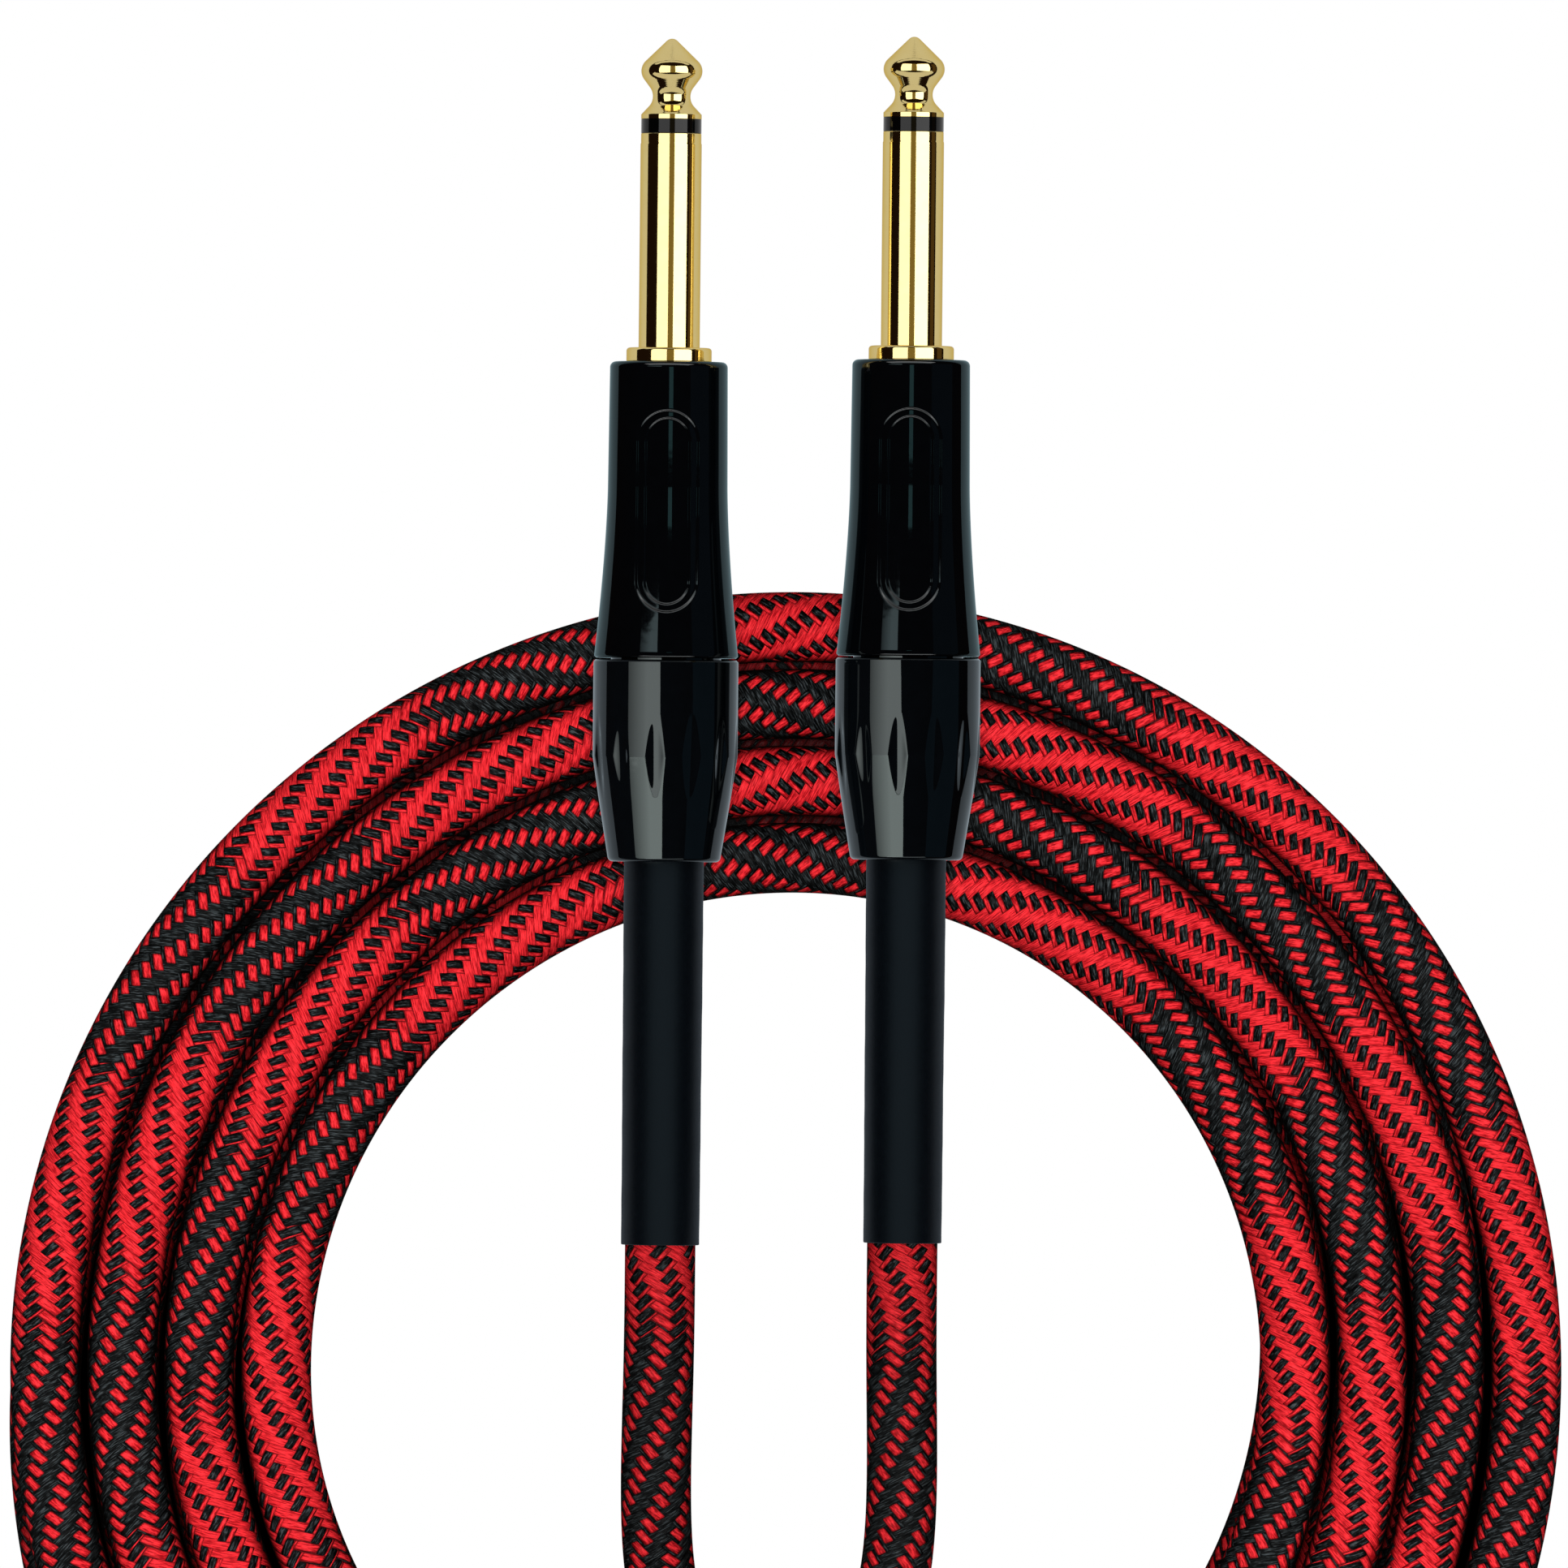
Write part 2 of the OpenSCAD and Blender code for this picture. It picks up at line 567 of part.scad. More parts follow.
module tail_cap() color(black_lacquer) {
    end_edge = 0.5;
    mouth_r = shrink_d / 2 + shrink_gap;
    difference() {
        turned(concat(
            [[0, neck_z], [neck_thread_d / 2, neck_z], [neck_thread_d / 2, cap_z],
             [cap_r - rim_edge, cap_z], [cap_r, cap_z + rim_edge], [cap_r, bend_z]],
            arc([cap_end_d / 2 - end_edge, cap_end_z - end_edge], end_edge, -cap_taper + 8, 90, 6),
            [[0, cap_end_z]]));
        // room for the chuck, its cone, and the mouth for the cable
        turned([[0, neck_z - over], [neck_bore_r, neck_z - over],
            [neck_bore_r, chuck_end_z - chuck_taper],
            [chuck_end_d / 2 + chuck_gap, chuck_end_z], [0, chuck_end_z]]);
        translate([0, 0, chuck_end_z - over]) cylinder(r = mouth_r, h = cap_len);
        for (k = [0:flutes - 1]) rotate([0, 0, 360 * k / flutes]) flute();
    }
}

shrink_bore = cord_r - shrink_grip;
module heat_shrink() color(black_shrink) turned([
    [shrink_bore, shrink_z], [shrink_d / 2, shrink_z], [shrink_d / 2, cap_end_z],
    [shrink_end_d / 2, shrink_end_z - 0.2], [shrink_end_d / 2 - 0.1, shrink_end_z],
    [shrink_bore, shrink_end_z]]);

cable_coil();
cable_tail(tail_a_line, in_dir);  // cable_tail_a
cable_tail(tail_b_line, -out_dir);  // cable_tail_b

at_plug(-1) tip();  // plug_a_tip
at_plug(-1) insulator_ring();  // plug_a_insulator_ring
at_plug(-1) sleeve();  // plug_a_sleeve
at_plug(-1) rear_insulator();  // plug_a_rear_insulator
at_plug(-1) tip_lug();  // plug_a_tip_lug
at_plug(-1) ground_lug();  // plug_a_ground_lug
at_plug(-1) insulating_tube();  // plug_a_insulating_tube
at_plug(-1) housing();  // plug_a_housing
at_plug(-1) core_insulation();  // plug_a_core_insulation
at_plug(-1) core_wire();  // plug_a_core_wire
at_plug(-1) shield_pigtail();  // plug_a_shield_pigtail
at_plug(-1) solder_joints();  // plug_a_solder_joints
at_plug(-1) chuck();  // plug_a_chuck
at_plug(-1) tail_cap();  // plug_a_tail_cap
at_plug(-1) heat_shrink();  // plug_a_heat_shrink

at_plug(1) tip();  // plug_b_tip
at_plug(1) insulator_ring();  // plug_b_insulator_ring
at_plug(1) sleeve();  // plug_b_sleeve
at_plug(1) rear_insulator();  // plug_b_rear_insulator
at_plug(1) tip_lug();  // plug_b_tip_lug
at_plug(1) ground_lug();  // plug_b_ground_lug
at_plug(1) insulating_tube();  // plug_b_insulating_tube
at_plug(1) housing();  // plug_b_housing
at_plug(1) core_insulation();  // plug_b_core_insulation
at_plug(1) core_wire();  // plug_b_core_wire
at_plug(1) shield_pigtail();  // plug_b_shield_pigtail
at_plug(1) solder_joints();  // plug_b_solder_joints
at_plug(1) chuck();  // plug_b_chuck
at_plug(1) tail_cap();  // plug_b_tail_cap
at_plug(1) heat_shrink();  // plug_b_heat_shrink
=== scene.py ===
# %% [markdown]
# # An instrument cable
# A braided cable lies in a round coil, and its two straight jack plugs lie across the coil.
# The solid model is the frame: every piece made here goes where its solid already is.

# %% Load the frame
import math

import bmesh
import bpy
import numpy as np
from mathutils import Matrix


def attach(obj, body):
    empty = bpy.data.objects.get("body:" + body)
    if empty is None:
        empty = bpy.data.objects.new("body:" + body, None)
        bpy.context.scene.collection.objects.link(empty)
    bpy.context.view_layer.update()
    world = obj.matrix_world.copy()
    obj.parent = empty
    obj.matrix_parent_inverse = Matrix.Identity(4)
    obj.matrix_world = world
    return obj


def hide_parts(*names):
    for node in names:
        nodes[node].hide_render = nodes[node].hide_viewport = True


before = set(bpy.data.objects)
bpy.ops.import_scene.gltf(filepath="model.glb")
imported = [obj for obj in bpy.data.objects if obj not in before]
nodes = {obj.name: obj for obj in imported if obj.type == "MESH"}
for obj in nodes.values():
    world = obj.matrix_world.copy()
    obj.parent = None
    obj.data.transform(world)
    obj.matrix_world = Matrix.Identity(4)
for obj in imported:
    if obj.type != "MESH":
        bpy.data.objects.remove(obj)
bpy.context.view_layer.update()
print("solids in the frame:", len(nodes))

# %% [markdown]
# ## Measures
# The drawing of the solid model is in millimetres, with x = 0 between the two plugs and
# y = 0 at the coil's middle. The frame's origin is in the middle of the whole footprint, so
# one subtraction and one scale bring a drawing point into the scene.

# %% Measures
MM = 0.001
ORIGIN = np.array([0.6, 27.1256, 0.0])
PLUG_X = 12.55
TIP_Y = 138.0
AHEAD = 0.45             # plug b lies this much further forwards
PLUG_Z = 22.5
CORD_R = 3.65


def in_scene(points):
    """Scene metres of drawing millimetres: (point - origin) / 1000."""
    return (np.asarray(points, float) - ORIGIN) * MM


def soft_step(t):
    """0 below 0, 1 above 1, and 3t^2 - 2t^3 between."""
    t = np.clip(t, 0, 1)
    return t * t * (3 - 2 * t)


print("left plug's tip in the scene, m:", in_scene([-PLUG_X, TIP_Y, PLUG_Z]))

# %% [markdown]
# ## Camera
# A catalogue picture of a cable is taken from straight above with a long lens, so that the
# plugs' sides stay parallel. A long lens far away gives that with an ordinary perspective
# camera. The picture is 1932 pixels wide, and a millimetre at the plugs takes 11.89 of them.

# %% Camera
PICTURE = 1932
PX_PER_MM = 11.89
ROLL = math.radians(0.577)
DISTANCE = 2.5
COIL_PIXEL = np.array([968, 1690])      # where the coil's middle is in the picture
COIL_MIDDLE = np.array([0.59, 0.0])     # and in the drawing

across, down = (np.array([PICTURE / 2, PICTURE / 2]) - COIL_PIXEL) / PX_PER_MM
right = np.array([math.cos(ROLL), math.sin(ROLL)])
up = np.array([-math.sin(ROLL), math.cos(ROLL)])
aim = COIL_MIDDLE + across * right - down * up
lens = bpy.data.cameras.new("camera")
lens.sensor_width = 36
lens.lens = 36 * DISTANCE / (PICTURE / PX_PER_MM * MM)
lens.clip_start, lens.clip_end = 0.1, 20
camera = bpy.data.objects.new("camera", lens)
camera.location = (*in_scene([*aim, 0])[:2], PLUG_Z * MM + DISTANCE)
camera.rotation_euler = (0, 0, ROLL)
bpy.context.scene.collection.objects.link(camera)
bpy.context.scene.camera = camera
print("camera above", in_scene([*aim, 0])[:2], "with a lens of", round(lens.lens), "mm")

# %% [markdown]
# ## Surfaces
# Every new piece is a sheet of points: rows along the piece, columns round it. A sheet can
# close on itself round the piece, along it, or both. Where a row shrinks to one point the
# doubled points are merged, which closes the pole.

# %% Surfaces
def skin(name, points, uv=None, around=True, along=False, sharp=30):
    """A mesh from a grid of points (rows, columns, 3): each face joins point (i, j) to its
    neighbours (i+1, j), (i+1, j+1) and (i, j+1), with the indexes wrapped where it closes."""
    rows, cols = points.shape[:2]
    i, j = np.meshgrid(np.arange(rows - (not along)), np.arange(cols - (not around)), indexing="ij")
    i, j = i.ravel(), j.ravel()

    def corner(a, b):
        return (a % rows) * cols + b % cols

    faces = np.stack([corner(i, j), corner(i + 1, j), corner(i + 1, j + 1), corner(i, j + 1)], 1)
    mesh = bpy.data.meshes.new(name)
    mesh.vertices.add(rows * cols)
    mesh.vertices.foreach_set("co", points.reshape(-1))
    mesh.loops.add(faces.size)
    mesh.loops.foreach_set("vertex_index", faces.reshape(-1))
    mesh.polygons.add(len(faces))
    mesh.polygons.foreach_set("loop_start", np.arange(len(faces)) * 4)
    if uv is not None:
        corners = np.stack([uv[i, j], uv[i + 1, j], uv[i + 1, j + 1], uv[i, j + 1]], 1)
        mesh.uv_layers.new(name="UVMap").data.foreach_set("uv", corners.reshape(-1))
    mesh.update(calc_edges=True)
    mesh.validate()
    work = bmesh.new()
    work.from_mesh(mesh)
    bmesh.ops.remove_doubles(work, verts=work.verts, dist=1e-7)
    bmesh.ops.recalc_face_normals(work, faces=work.faces)
    work.to_mesh(mesh)
    work.free()
    mesh.shade_smooth()
    mesh.set_sharp_from_angle(angle=math.radians(sharp))
    piece = bpy.data.objects.new(name, mesh)
    bpy.context.scene.collection.objects.link(piece)
    return piece


print("surfaces are ready")

# %% [markdown]
# ## The cable's route
# The cable leaves plug a, dives into the coil, winds outwards in the lower layer, climbs,
# winds inwards in the upper layer and comes back to plug b. The coil is a spiral given by its
# radius and height at each angle; the two tails are smooth curves near a few guide points.

# %% The coil's spiral
PITCH = 8.0              # mm from turn to turn
COIL_R = 79.2            # of the outermost turn's middle line
START, CLIMB, TOP, END = -30.0, 900.0, 1080.0, 2385.0    # degrees along the spiral
BULGE = 3.3              # mm that the strand swings out as it climbs
UPPER_Z = 10.95          # height of the upper layer's middle
SWING, SWING_ANGLE = 0.7, 47.0
COIL_X = -1.4            # where the spiral's middle is


def spiral(angle):
    """Points of the coil: the radius grows by a pitch a turn, bulges as the strand climbs,
    and shrinks by a pitch a turn; 0.7 cos 2(angle - 47) of it is the hand that laid it. The
    height eases from layer to layer."""
    a = np.radians(angle)
    t = np.clip((angle - CLIMB) / 180, 0, 1)
    radius = np.where(angle <= CLIMB, COIL_R - PITCH / 2 - PITCH * (CLIMB - angle) / 360,
                      np.where(angle < TOP, COIL_R - PITCH / 2 * (1 - t) + BULGE * np.sin(np.pi * t),
                               COIL_R - PITCH * (angle - TOP) / 360))
    radius = radius + SWING * np.cos(2 * (a - math.radians(SWING_ANGLE)))
    height = CORD_R + (UPPER_Z - CORD_R) * soft_step(t)
    return np.stack([COIL_X + radius * np.cos(a), radius * np.sin(a), height], -1)


coil = spiral(np.arange(START, END + 0.5))
print("the coil's turns:", (END - START) / 360)

# %% [markdown]
# A uniform cubic B-spline passes near its guides without a kink, so a few round numbers draw
# a smooth tail. Its last guides are worked out so that it ends on the coil, in line with it.

# %% The two tails
END_LEAN = math.radians(12)      # how far a tail turns away from the coil where it joins it
TAIL_A = [[-12.5, 0, 22.5], [-13, -15, 18.5], [-12, -27, 14.5], [-5.5, -38, 9.5],
          [6, -45, 5.5], [20, -46, 3.65], [32.5, -41, 3.65]]
TAIL_B = [[12.5, 0, 22.5], [13, -14, 22.5], [12, -26.5, 22], [5, -38, 19.5],
          [-6.5, -44.5, 15.5], [-19.5, -44.5, 12]]
JACKET_Y = 84.81         # where the jacket is cut, inside plug a
MERGE = 28               # mm beyond the last guide that keep the tail in line with the coil


def turned_by(v, angle):
    """v turned about the vertical by an angle, and levelled."""
    c, s = math.cos(angle), math.sin(angle)
    w = np.array([c * v[0] - s * v[1], s * v[0] + c * v[1], 0])
    return w / np.linalg.norm(w)


def b_spline(guides, steps=12):
    """Each stretch blends four guides with the weights (1-t)^3, 3t^3-6t^2+4,
    -3t^3+3t^2+3t+1 and t^3, all over 6."""
    t = np.linspace(0, 1, steps, endpoint=False)
    w = np.stack([(1 - t) ** 3, 3 * t**3 - 6 * t**2 + 4, -3 * t**3 + 3 * t**2 + 3 * t + 1, t**3]) / 6
    four = np.stack([guides[k:len(guides) - 3 + k] for k in range(4)])
    return np.einsum("kt,kgc->gtc", w, four).reshape(-1, 3)


def tail(side, guides, end, direction):
    """From the cut jacket down the plug's axis, then by the guides to the coil's end."""
    guides = np.array(guides, float)
    beyond = guides[-1] + MERGE * direction
    last = (6 * end - guides[-1] - beyond) / 4
    jacket = JACKET_Y + (side > 0) * AHEAD
    axis = [[side * PLUG_X, y, PLUG_Z] for y in (jacket, 66, 52, 39, 26, 13)]
    curve = b_spline(np.vstack([axis, guides, last, beyond]))
    return np.vstack([axis[:1], curve, end])


in_dir = turned_by(coil[1] - coil[0], -END_LEAN)
out_dir = turned_by(coil[-1] - coil[-2], END_LEAN)
tail_a = tail(-1, TAIL_A, coil[0] - 2 * CORD_R * in_dir, in_dir)
tail_b = tail(1, TAIL_B, coil[-1] + 2 * CORD_R * out_dir, -out_dir)
print("points in the tails:", len(tail_a), len(tail_b))

# %% [markdown]
# The three stretches are joined, spaced evenly and softened a little, because a cord bends
# over a length, never at a point.

# %% One even route
ROUGH_STEP, STEP = 0.5, 1.1      # mm between points, before and after the softening
SOFTNESS = 6                     # width of the bell, in points


def evenly(line, step):
    """The line's points spaced one step apart, by interpolation over its running length."""
    run = np.concatenate([[0], np.cumsum(np.linalg.norm(np.diff(line, axis=0), axis=1))])
    at = np.linspace(0, run[-1], int(round(run[-1] / step)) + 1)
    return np.stack([np.interp(at, run, line[:, k]) for k in range(3)], 1), at


def softened(line, width):
    """Each point becomes the bell-weighted mean of its neighbours; the ends carry on straight."""
    reach = 3 * width
    bell = np.exp(-0.5 * (np.arange(-reach, reach + 1) / width) ** 2)
    bell /= bell.sum()
    head = line[0] - (line[1] - line[0]) * np.arange(reach, 0, -1)[:, None]
    foot = line[-1] + (line[-1] - line[-2]) * np.arange(1, reach + 1)[:, None]
    padded = np.vstack([head, line, foot])
    return np.stack([np.convolve(padded[:, k], bell, "valid") for k in range(3)], 1)


rough = evenly(np.vstack([tail_a, coil, tail_b[::-1]]), ROUGH_STEP)[0]
route, run = evenly(softened(rough, SOFTNESS), STEP)
print("length of the cable, m:", round(run[-1] * MM, 3), "lowest middle, mm:", route[:, 2].min())

# %% [markdown]
# ## The cable
# The jacket is braided, and the braid doesn't lie quite straight: it turns to and fro round
# the cord, once in about 55 mm. Where it leans one way the red yarns crowd and the black ones
# spread, and where it leans the other way the black ones crowd. That makes the wavy red and
# black zones of such a cord. How far the braid leans, and how far it has turned by then, are
# worked out along the route, and the turn goes into the map of the surface.

# %% The braid's lean
TAU = 2 * np.pi
LEAN_MAX = 0.6           # slope of the first wave
ROUND_MM = TAU * CORD_R
# the middles of some red zones, in mm of cable, and how many zones came before each
RED_ZONES = [(66, 0), (1499, 26), (1555, 27), (1609, 28), (1660, 29), (1711, 30), (1985, 35),
             (2036, 36), (2100, 37), (2153, 38), (2375, 42), (2425, 43), (2477, 44), (2535, 45),
             (2758, 49), (2807, 50), (2869, 51), (2918, 52), (3005, 53), (3062, 54)]
zone_run, zone_count = np.array(RED_ZONES).T
wave = TAU * np.interp(run, zone_run, zone_count)
lean = LEAN_MAX * (np.cos(wave) - 0.2 * np.cos(3 * wave))
steps = (lean[1:] + lean[:-1]) / 2 * np.diff(run)
turned_so_far = np.concatenate([[0], np.cumsum(steps)]) / ROUND_MM
print("the braid turns to and fro by", round(float(np.ptp(turned_so_far)), 3), "of a turn")

# %% [markdown]
# The surface is a tube: at each point of the route a circle stands square to the way it runs.

# %% The cable's tube
SIDES = 32


def tube(line, radius, sides):
    """Ring points: middle + radius * (cos t * side + sin t * up), where side is level and
    square to the way the line runs, and up is square to both."""
    way = np.gradient(line, axis=0)
    way /= np.linalg.norm(way, axis=1)[:, None]
    side = np.cross(way, [0, 0, 1])
    side /= np.linalg.norm(side, axis=1)[:, None]
    over = np.cross(side, way)
    t = np.linspace(0, TAU, sides, endpoint=False)
    return (line[:, None] + radius * (np.cos(t)[None, :, None] * side[:, None]
                                      + np.sin(t)[None, :, None] * over[:, None]))


jacket = tube(route, CORD_R, SIDES)
print("points of the jacket:", jacket.shape[:2])

# %% [markdown]
# A number for each point says how open the place is, and the material paints it into the
# colour as shade. A flank that looks at a strand beside it gets little light, and so does the
# seam in the middle of the pile, where one layer lies on the other. A flank with nothing beside
# it, as at the coil's rim and on the tails, is nearly as open as the top. Near the plugs the
# yarn gets more painted shade, which makes the tails darker.

# %% How open each place is
OWN_LENGTH = 15          # mm along the cord that count as the strand itself
LAYER_GAP = 5            # mm of height that make another layer
CLOSED, CLEAR = 4, 8     # mm from the place beside the cord: blocked below, free above
PAINTED_TAIL_SHADE_SPAN = (95, 135)      # mm from its ends where the painted shade on the tails fades out
# how much light the tails keep under their painted shade
PAINTED_TAIL_SHADE_LEVEL = 0.68
SEAM_LIGHT, SHUT_LIGHT, FLANK_LIGHT = 0.05, 0.01, 0.35   # the least: in the seam, blocked, free
BLACK_TO, OPENING = 0.15, 0.7    # cord radii from its middle: black up to here, then opening


def neighbour(line, run, edge):
    """1 where another strand of the same layer is within 4 mm of the place beside this edge of
    the cord, 0 where none is within 8 mm, and a straight slope between the two."""
    place = 2 * edge[:, :2] - line[:, :2]
    apart = np.hypot(*(place[:, None, :] - line[None, :, :2]).transpose(2, 0, 1))
    own = np.abs(run[:, None] - run) < OWN_LENGTH
    other_layer = np.abs(line[:, None, 2] - line[:, 2]) > LAYER_GAP
    apart[own | other_layer] = np.inf
    return np.clip((CLEAR - apart.min(axis=1)) / (CLEAR - CLOSED), 0, 1)


upright = np.abs(jacket[..., 2] - route[:, None, 2]) / CORD_R
from_seam = np.clip(np.abs(jacket[..., 2] - 2 * CORD_R) / CORD_R, SEAM_LIGHT, 1)
shut = np.maximum(soft_step((upright - BLACK_TO) / OPENING), SHUT_LIGHT) * from_seam
free = (FLANK_LIGHT + (1 - FLANK_LIGHT) * upright) * from_seam ** 0.5
right_edge, left_edge = jacket[:, 0], jacket[:, SIDES // 2]
beside = np.stack([neighbour(route, run, edge) for edge in (right_edge, left_edge)], 1)
to_the_right = np.cos(np.linspace(0, TAU, SIDES, endpoint=False)) > 0
blocked = np.where(to_the_right, beside[:, :1], beside[:, 1:])
openness = free + blocked * (shut - free)
# painted shade: the yarn gets darker near both plugs
openness *= np.interp(np.minimum(run, run[-1] - run), PAINTED_TAIL_SHADE_SPAN, (PAINTED_TAIL_SHADE_LEVEL, 1))[:, None]
print("share of the edges with a strand beside them:", round(float(beside.mean()), 2))

# %% [markdown]
# On the jacket's map one coordinate counts turns, less the braid's own turn, and the other
# counts millimetres along the cord. The lean and the openness go with each point as
# attributes, for the material to read.

# %% The cable
turns = np.linspace(0, 1, SIDES + 1) - turned_so_far[:, None]
cable = skin("braided_cable", in_scene(jacket),
             uv=np.stack(np.broadcast_arrays(turns, run[:, None]), 2), sharp=60)
for name, values in (("lean", np.repeat(lean, SIDES)), ("open", openness.ravel())):
    cable.data.attributes.new(name, "FLOAT", "POINT").data.foreach_set("value", values)
cable.visible_glossy = False            # the lacquer doesn't mirror the red cord
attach(cable, "cable")
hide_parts("cable_coil", "cable_tail_a", "cable_tail_b")
print("faces of the cable:", len(cable.data.polygons))

# %% [markdown]
# ## Shapes on a plug's axis
# Most pieces of a jack plug are turned on a lathe, so one outline of [radius, z] points says
# everything about them. z counts millimetres from the tip's apex towards the cable, and the
# angle round the axis starts at the top.

# %% Shapes on a plug's axis
PLUGS = {"a": -1, "b": 1}
ROUND = np.linspace(0, TAU, 128, endpoint=False)    # the angles of a turned piece's points
HOLD = 0.04              # mm from a corner to the point that keeps the shading flat up to it


def arc(c, r, a, b, steps=10):
    """Points c + r * (cos t, sin t) for t from a to b degrees."""
    t = np.radians(np.linspace(a, b, steps + 1))
    return np.stack([c[0] + r * np.cos(t), c[1] + r * np.sin(t)], 1)


def outline(*stretches):
    """The stretches of [radius, z] points joined, with one more point close to both ends of
    each long straight, so that the shading stays flat up to its edge."""
    line = np.vstack(stretches).astype(float)
    a, b = line[:-1], line[1:]
    length = np.linalg.norm(b - a, axis=1)[:, None]
    step = (b - a) * HOLD / length
    points = np.stack([a, a + step, b - step], 1).reshape(-1, 2)
    kept = np.repeat(length[:, 0] > 6 * HOLD, 3)
    kept[::3] = True
    return np.vstack([points[kept], line[-1:]])


def placed(side, radius, angle, z):
    """Scene points of plug measures: (side * 12.55 + r sin t, tip - z, 22.5 + r cos t)."""
    radius, angle, z = np.broadcast_arrays(radius, angle, z)
    tip = TIP_Y + (side > 0) * AHEAD
    return in_scene(np.stack([side * PLUG_X + radius * np.sin(angle), tip - z,
                              PLUG_Z + radius * np.cos(angle)], -1))


def turned(name, side, line, ring=True):
    """A solid of revolution: each outline point goes once round the axis."""
    return skin(name, placed(side, line[:, :1], ROUND, line[:, 1:]), along=ring)


def stands_for(piece, node, body="cable"):
    """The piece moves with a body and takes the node's place."""
    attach(piece, body)
    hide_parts(node)
    return piece


print("sides of a turned piece:", len(ROUND))

# %% [markdown]
# ## Tip
# The tip of a jack plug is turned from a brass bar in one piece with the long rod that
# carries its contact through the sleeve. Its outline is a row of arcs and straights that
# touch without a corner: a cone, a shoulder, the hollow that the socket's spring drops into,
# and a lip. The height of each next arc follows from the tangent that it shares.

# %% Tip
CONE, FALL, RISE = 46, 36.5, 43.2    # slopes, in degrees
NOSE_R, SHOULDER_R, HOLLOW_R, LIP_R = 0.8, 1.45, 1.53, 0.1
TIP_R, NECK_R, EDGE_R, ROD_R = 3.17, 1.95, 3.14, 1.2
RING_Z, SLEEVE_Z, COLLAR_Z, HOUSING_Z = 8.33, 9.84, 32.04, 33.49
ROD_Z, ROD_END_Z, RIVET_R = 45.99, 46.49, 1.9    # the rod's end is riveted over the lug


def tangent_z(c, r, x, r2, a):
    """Height of a second arc's centre at radius x, from the tangent that it shares with the
    first where the normal has the angle a; a hollow arc has a negative radius."""
    a = math.radians(a)
    return (c[0] * math.cos(a) + c[1] * math.sin(a) + r - r2 - x * math.cos(a)) / math.sin(a)


nose = [0, NOSE_R]
shoulder = [TIP_R - SHOULDER_R, tangent_z(nose, NOSE_R, TIP_R - SHOULDER_R, SHOULDER_R, -CONE)]
hollow = [NECK_R + HOLLOW_R, tangent_z(shoulder, SHOULDER_R, NECK_R + HOLLOW_R, -HOLLOW_R, FALL)]
lip = [EDGE_R - LIP_R, tangent_z(hollow, -HOLLOW_R, EDGE_R - LIP_R, LIP_R, -RISE)]
tip_line = outline(arc(nose, NOSE_R, -90, -CONE), arc(shoulder, SHOULDER_R, -CONE, FALL, 20),
                   arc(hollow, HOLLOW_R, 180 + FALL, 180 - RISE, 24), arc(lip, LIP_R, -RISE, 0, 4),
                   [[EDGE_R, RING_Z], [ROD_R, RING_Z], [ROD_R, ROD_Z], [RIVET_R, ROD_Z],
                    [RIVET_R, ROD_END_Z], [0, ROD_END_Z]])
tips = [stands_for(turned(f"tip_{k}", side, tip_line, ring=False), f"plug_{k}_tip")
        for k, side in PLUGS.items()]
print("centre of the lip's arc, mm:", np.round(lip, 3))

# %% [markdown]
# ## Insulator ring and sleeve
# The ring between the contacts is moulded with the tube that lines the sleeve. The sleeve is
# turned from a brass tube: a slightly thinner band at its front, the long contact, a collar
# with a rounded front, and the thick rear body that is pressed into the housing.

# %% Insulator ring and sleeve
RING_R, SLEEVE_R, COLLAR_R, BODY_R, REAR_Z, SPIGOT_Z = 3.13, 3.175, 4.425, 4.0, 43.49, 44.49
TUBE_R, TUBE_BORE_R, SLEEVE_BORE_R, SPIGOT_R = 1.95, 1.25, 2.0, 3.2
BAND, BAND_SLOPE, COLLAR_ROUND = 1, 0.12, 0.35
BREAK = 0.06                         # an edge that is broken so that it doesn't cut

ring_line = outline(arc([RING_R - BREAK, RING_Z + BREAK], BREAK, -90, 0, 3),
                    arc([RING_R - BREAK, SLEEVE_Z - BREAK], BREAK, 0, 90, 3),
                    [[TUBE_R, SLEEVE_Z], [TUBE_R, SPIGOT_Z], [TUBE_BORE_R, SPIGOT_Z],
                     [TUBE_BORE_R, RING_Z]])
sleeve_line = outline([[SLEEVE_BORE_R, SLEEVE_Z]],
                      arc([RING_R - BREAK, SLEEVE_Z + BREAK], BREAK, -90, 0, 3),
                      [[RING_R, SLEEVE_Z + BAND], [SLEEVE_R, SLEEVE_Z + BAND + BAND_SLOPE],
                       [SLEEVE_R, COLLAR_Z]],
                      arc([COLLAR_R - COLLAR_ROUND, COLLAR_Z + COLLAR_ROUND], COLLAR_ROUND, -90, 0, 8),
                      arc([COLLAR_R - BREAK, HOUSING_Z - BREAK], BREAK, 0, 90, 3),
                      [[BODY_R, HOUSING_Z], [BODY_R, REAR_Z], [SPIGOT_R, REAR_Z],
                       [SPIGOT_R, SPIGOT_Z], [SLEEVE_BORE_R, SPIGOT_Z]])
rings, sleeves = [], []
for k, side in PLUGS.items():
    rings.append(stands_for(turned(f"insulator_ring_{k}", side, ring_line),
                            f"plug_{k}_insulator_ring"))
    sleeves.append(stands_for(turned(f"sleeve_{k}", side, sleeve_line), f"plug_{k}_sleeve"))
print("outline points of ring and sleeve:", len(ring_line), len(sleeve_line))

# %% [markdown]
# ## Housing
# The housing is die cast, so it can flare and carry a sunk panel with round ends. The panel
# is a height field over the turned shape: the distance to a stadium's edge, through a soft
# step, says how deep each point lies, once for the rim and once more for the floor. Near the
# panel the columns stand close, and each keeps its distance x from the middle: its angle is
# asin(x / r). So they run along the panel's straight sides also where the shell flares.

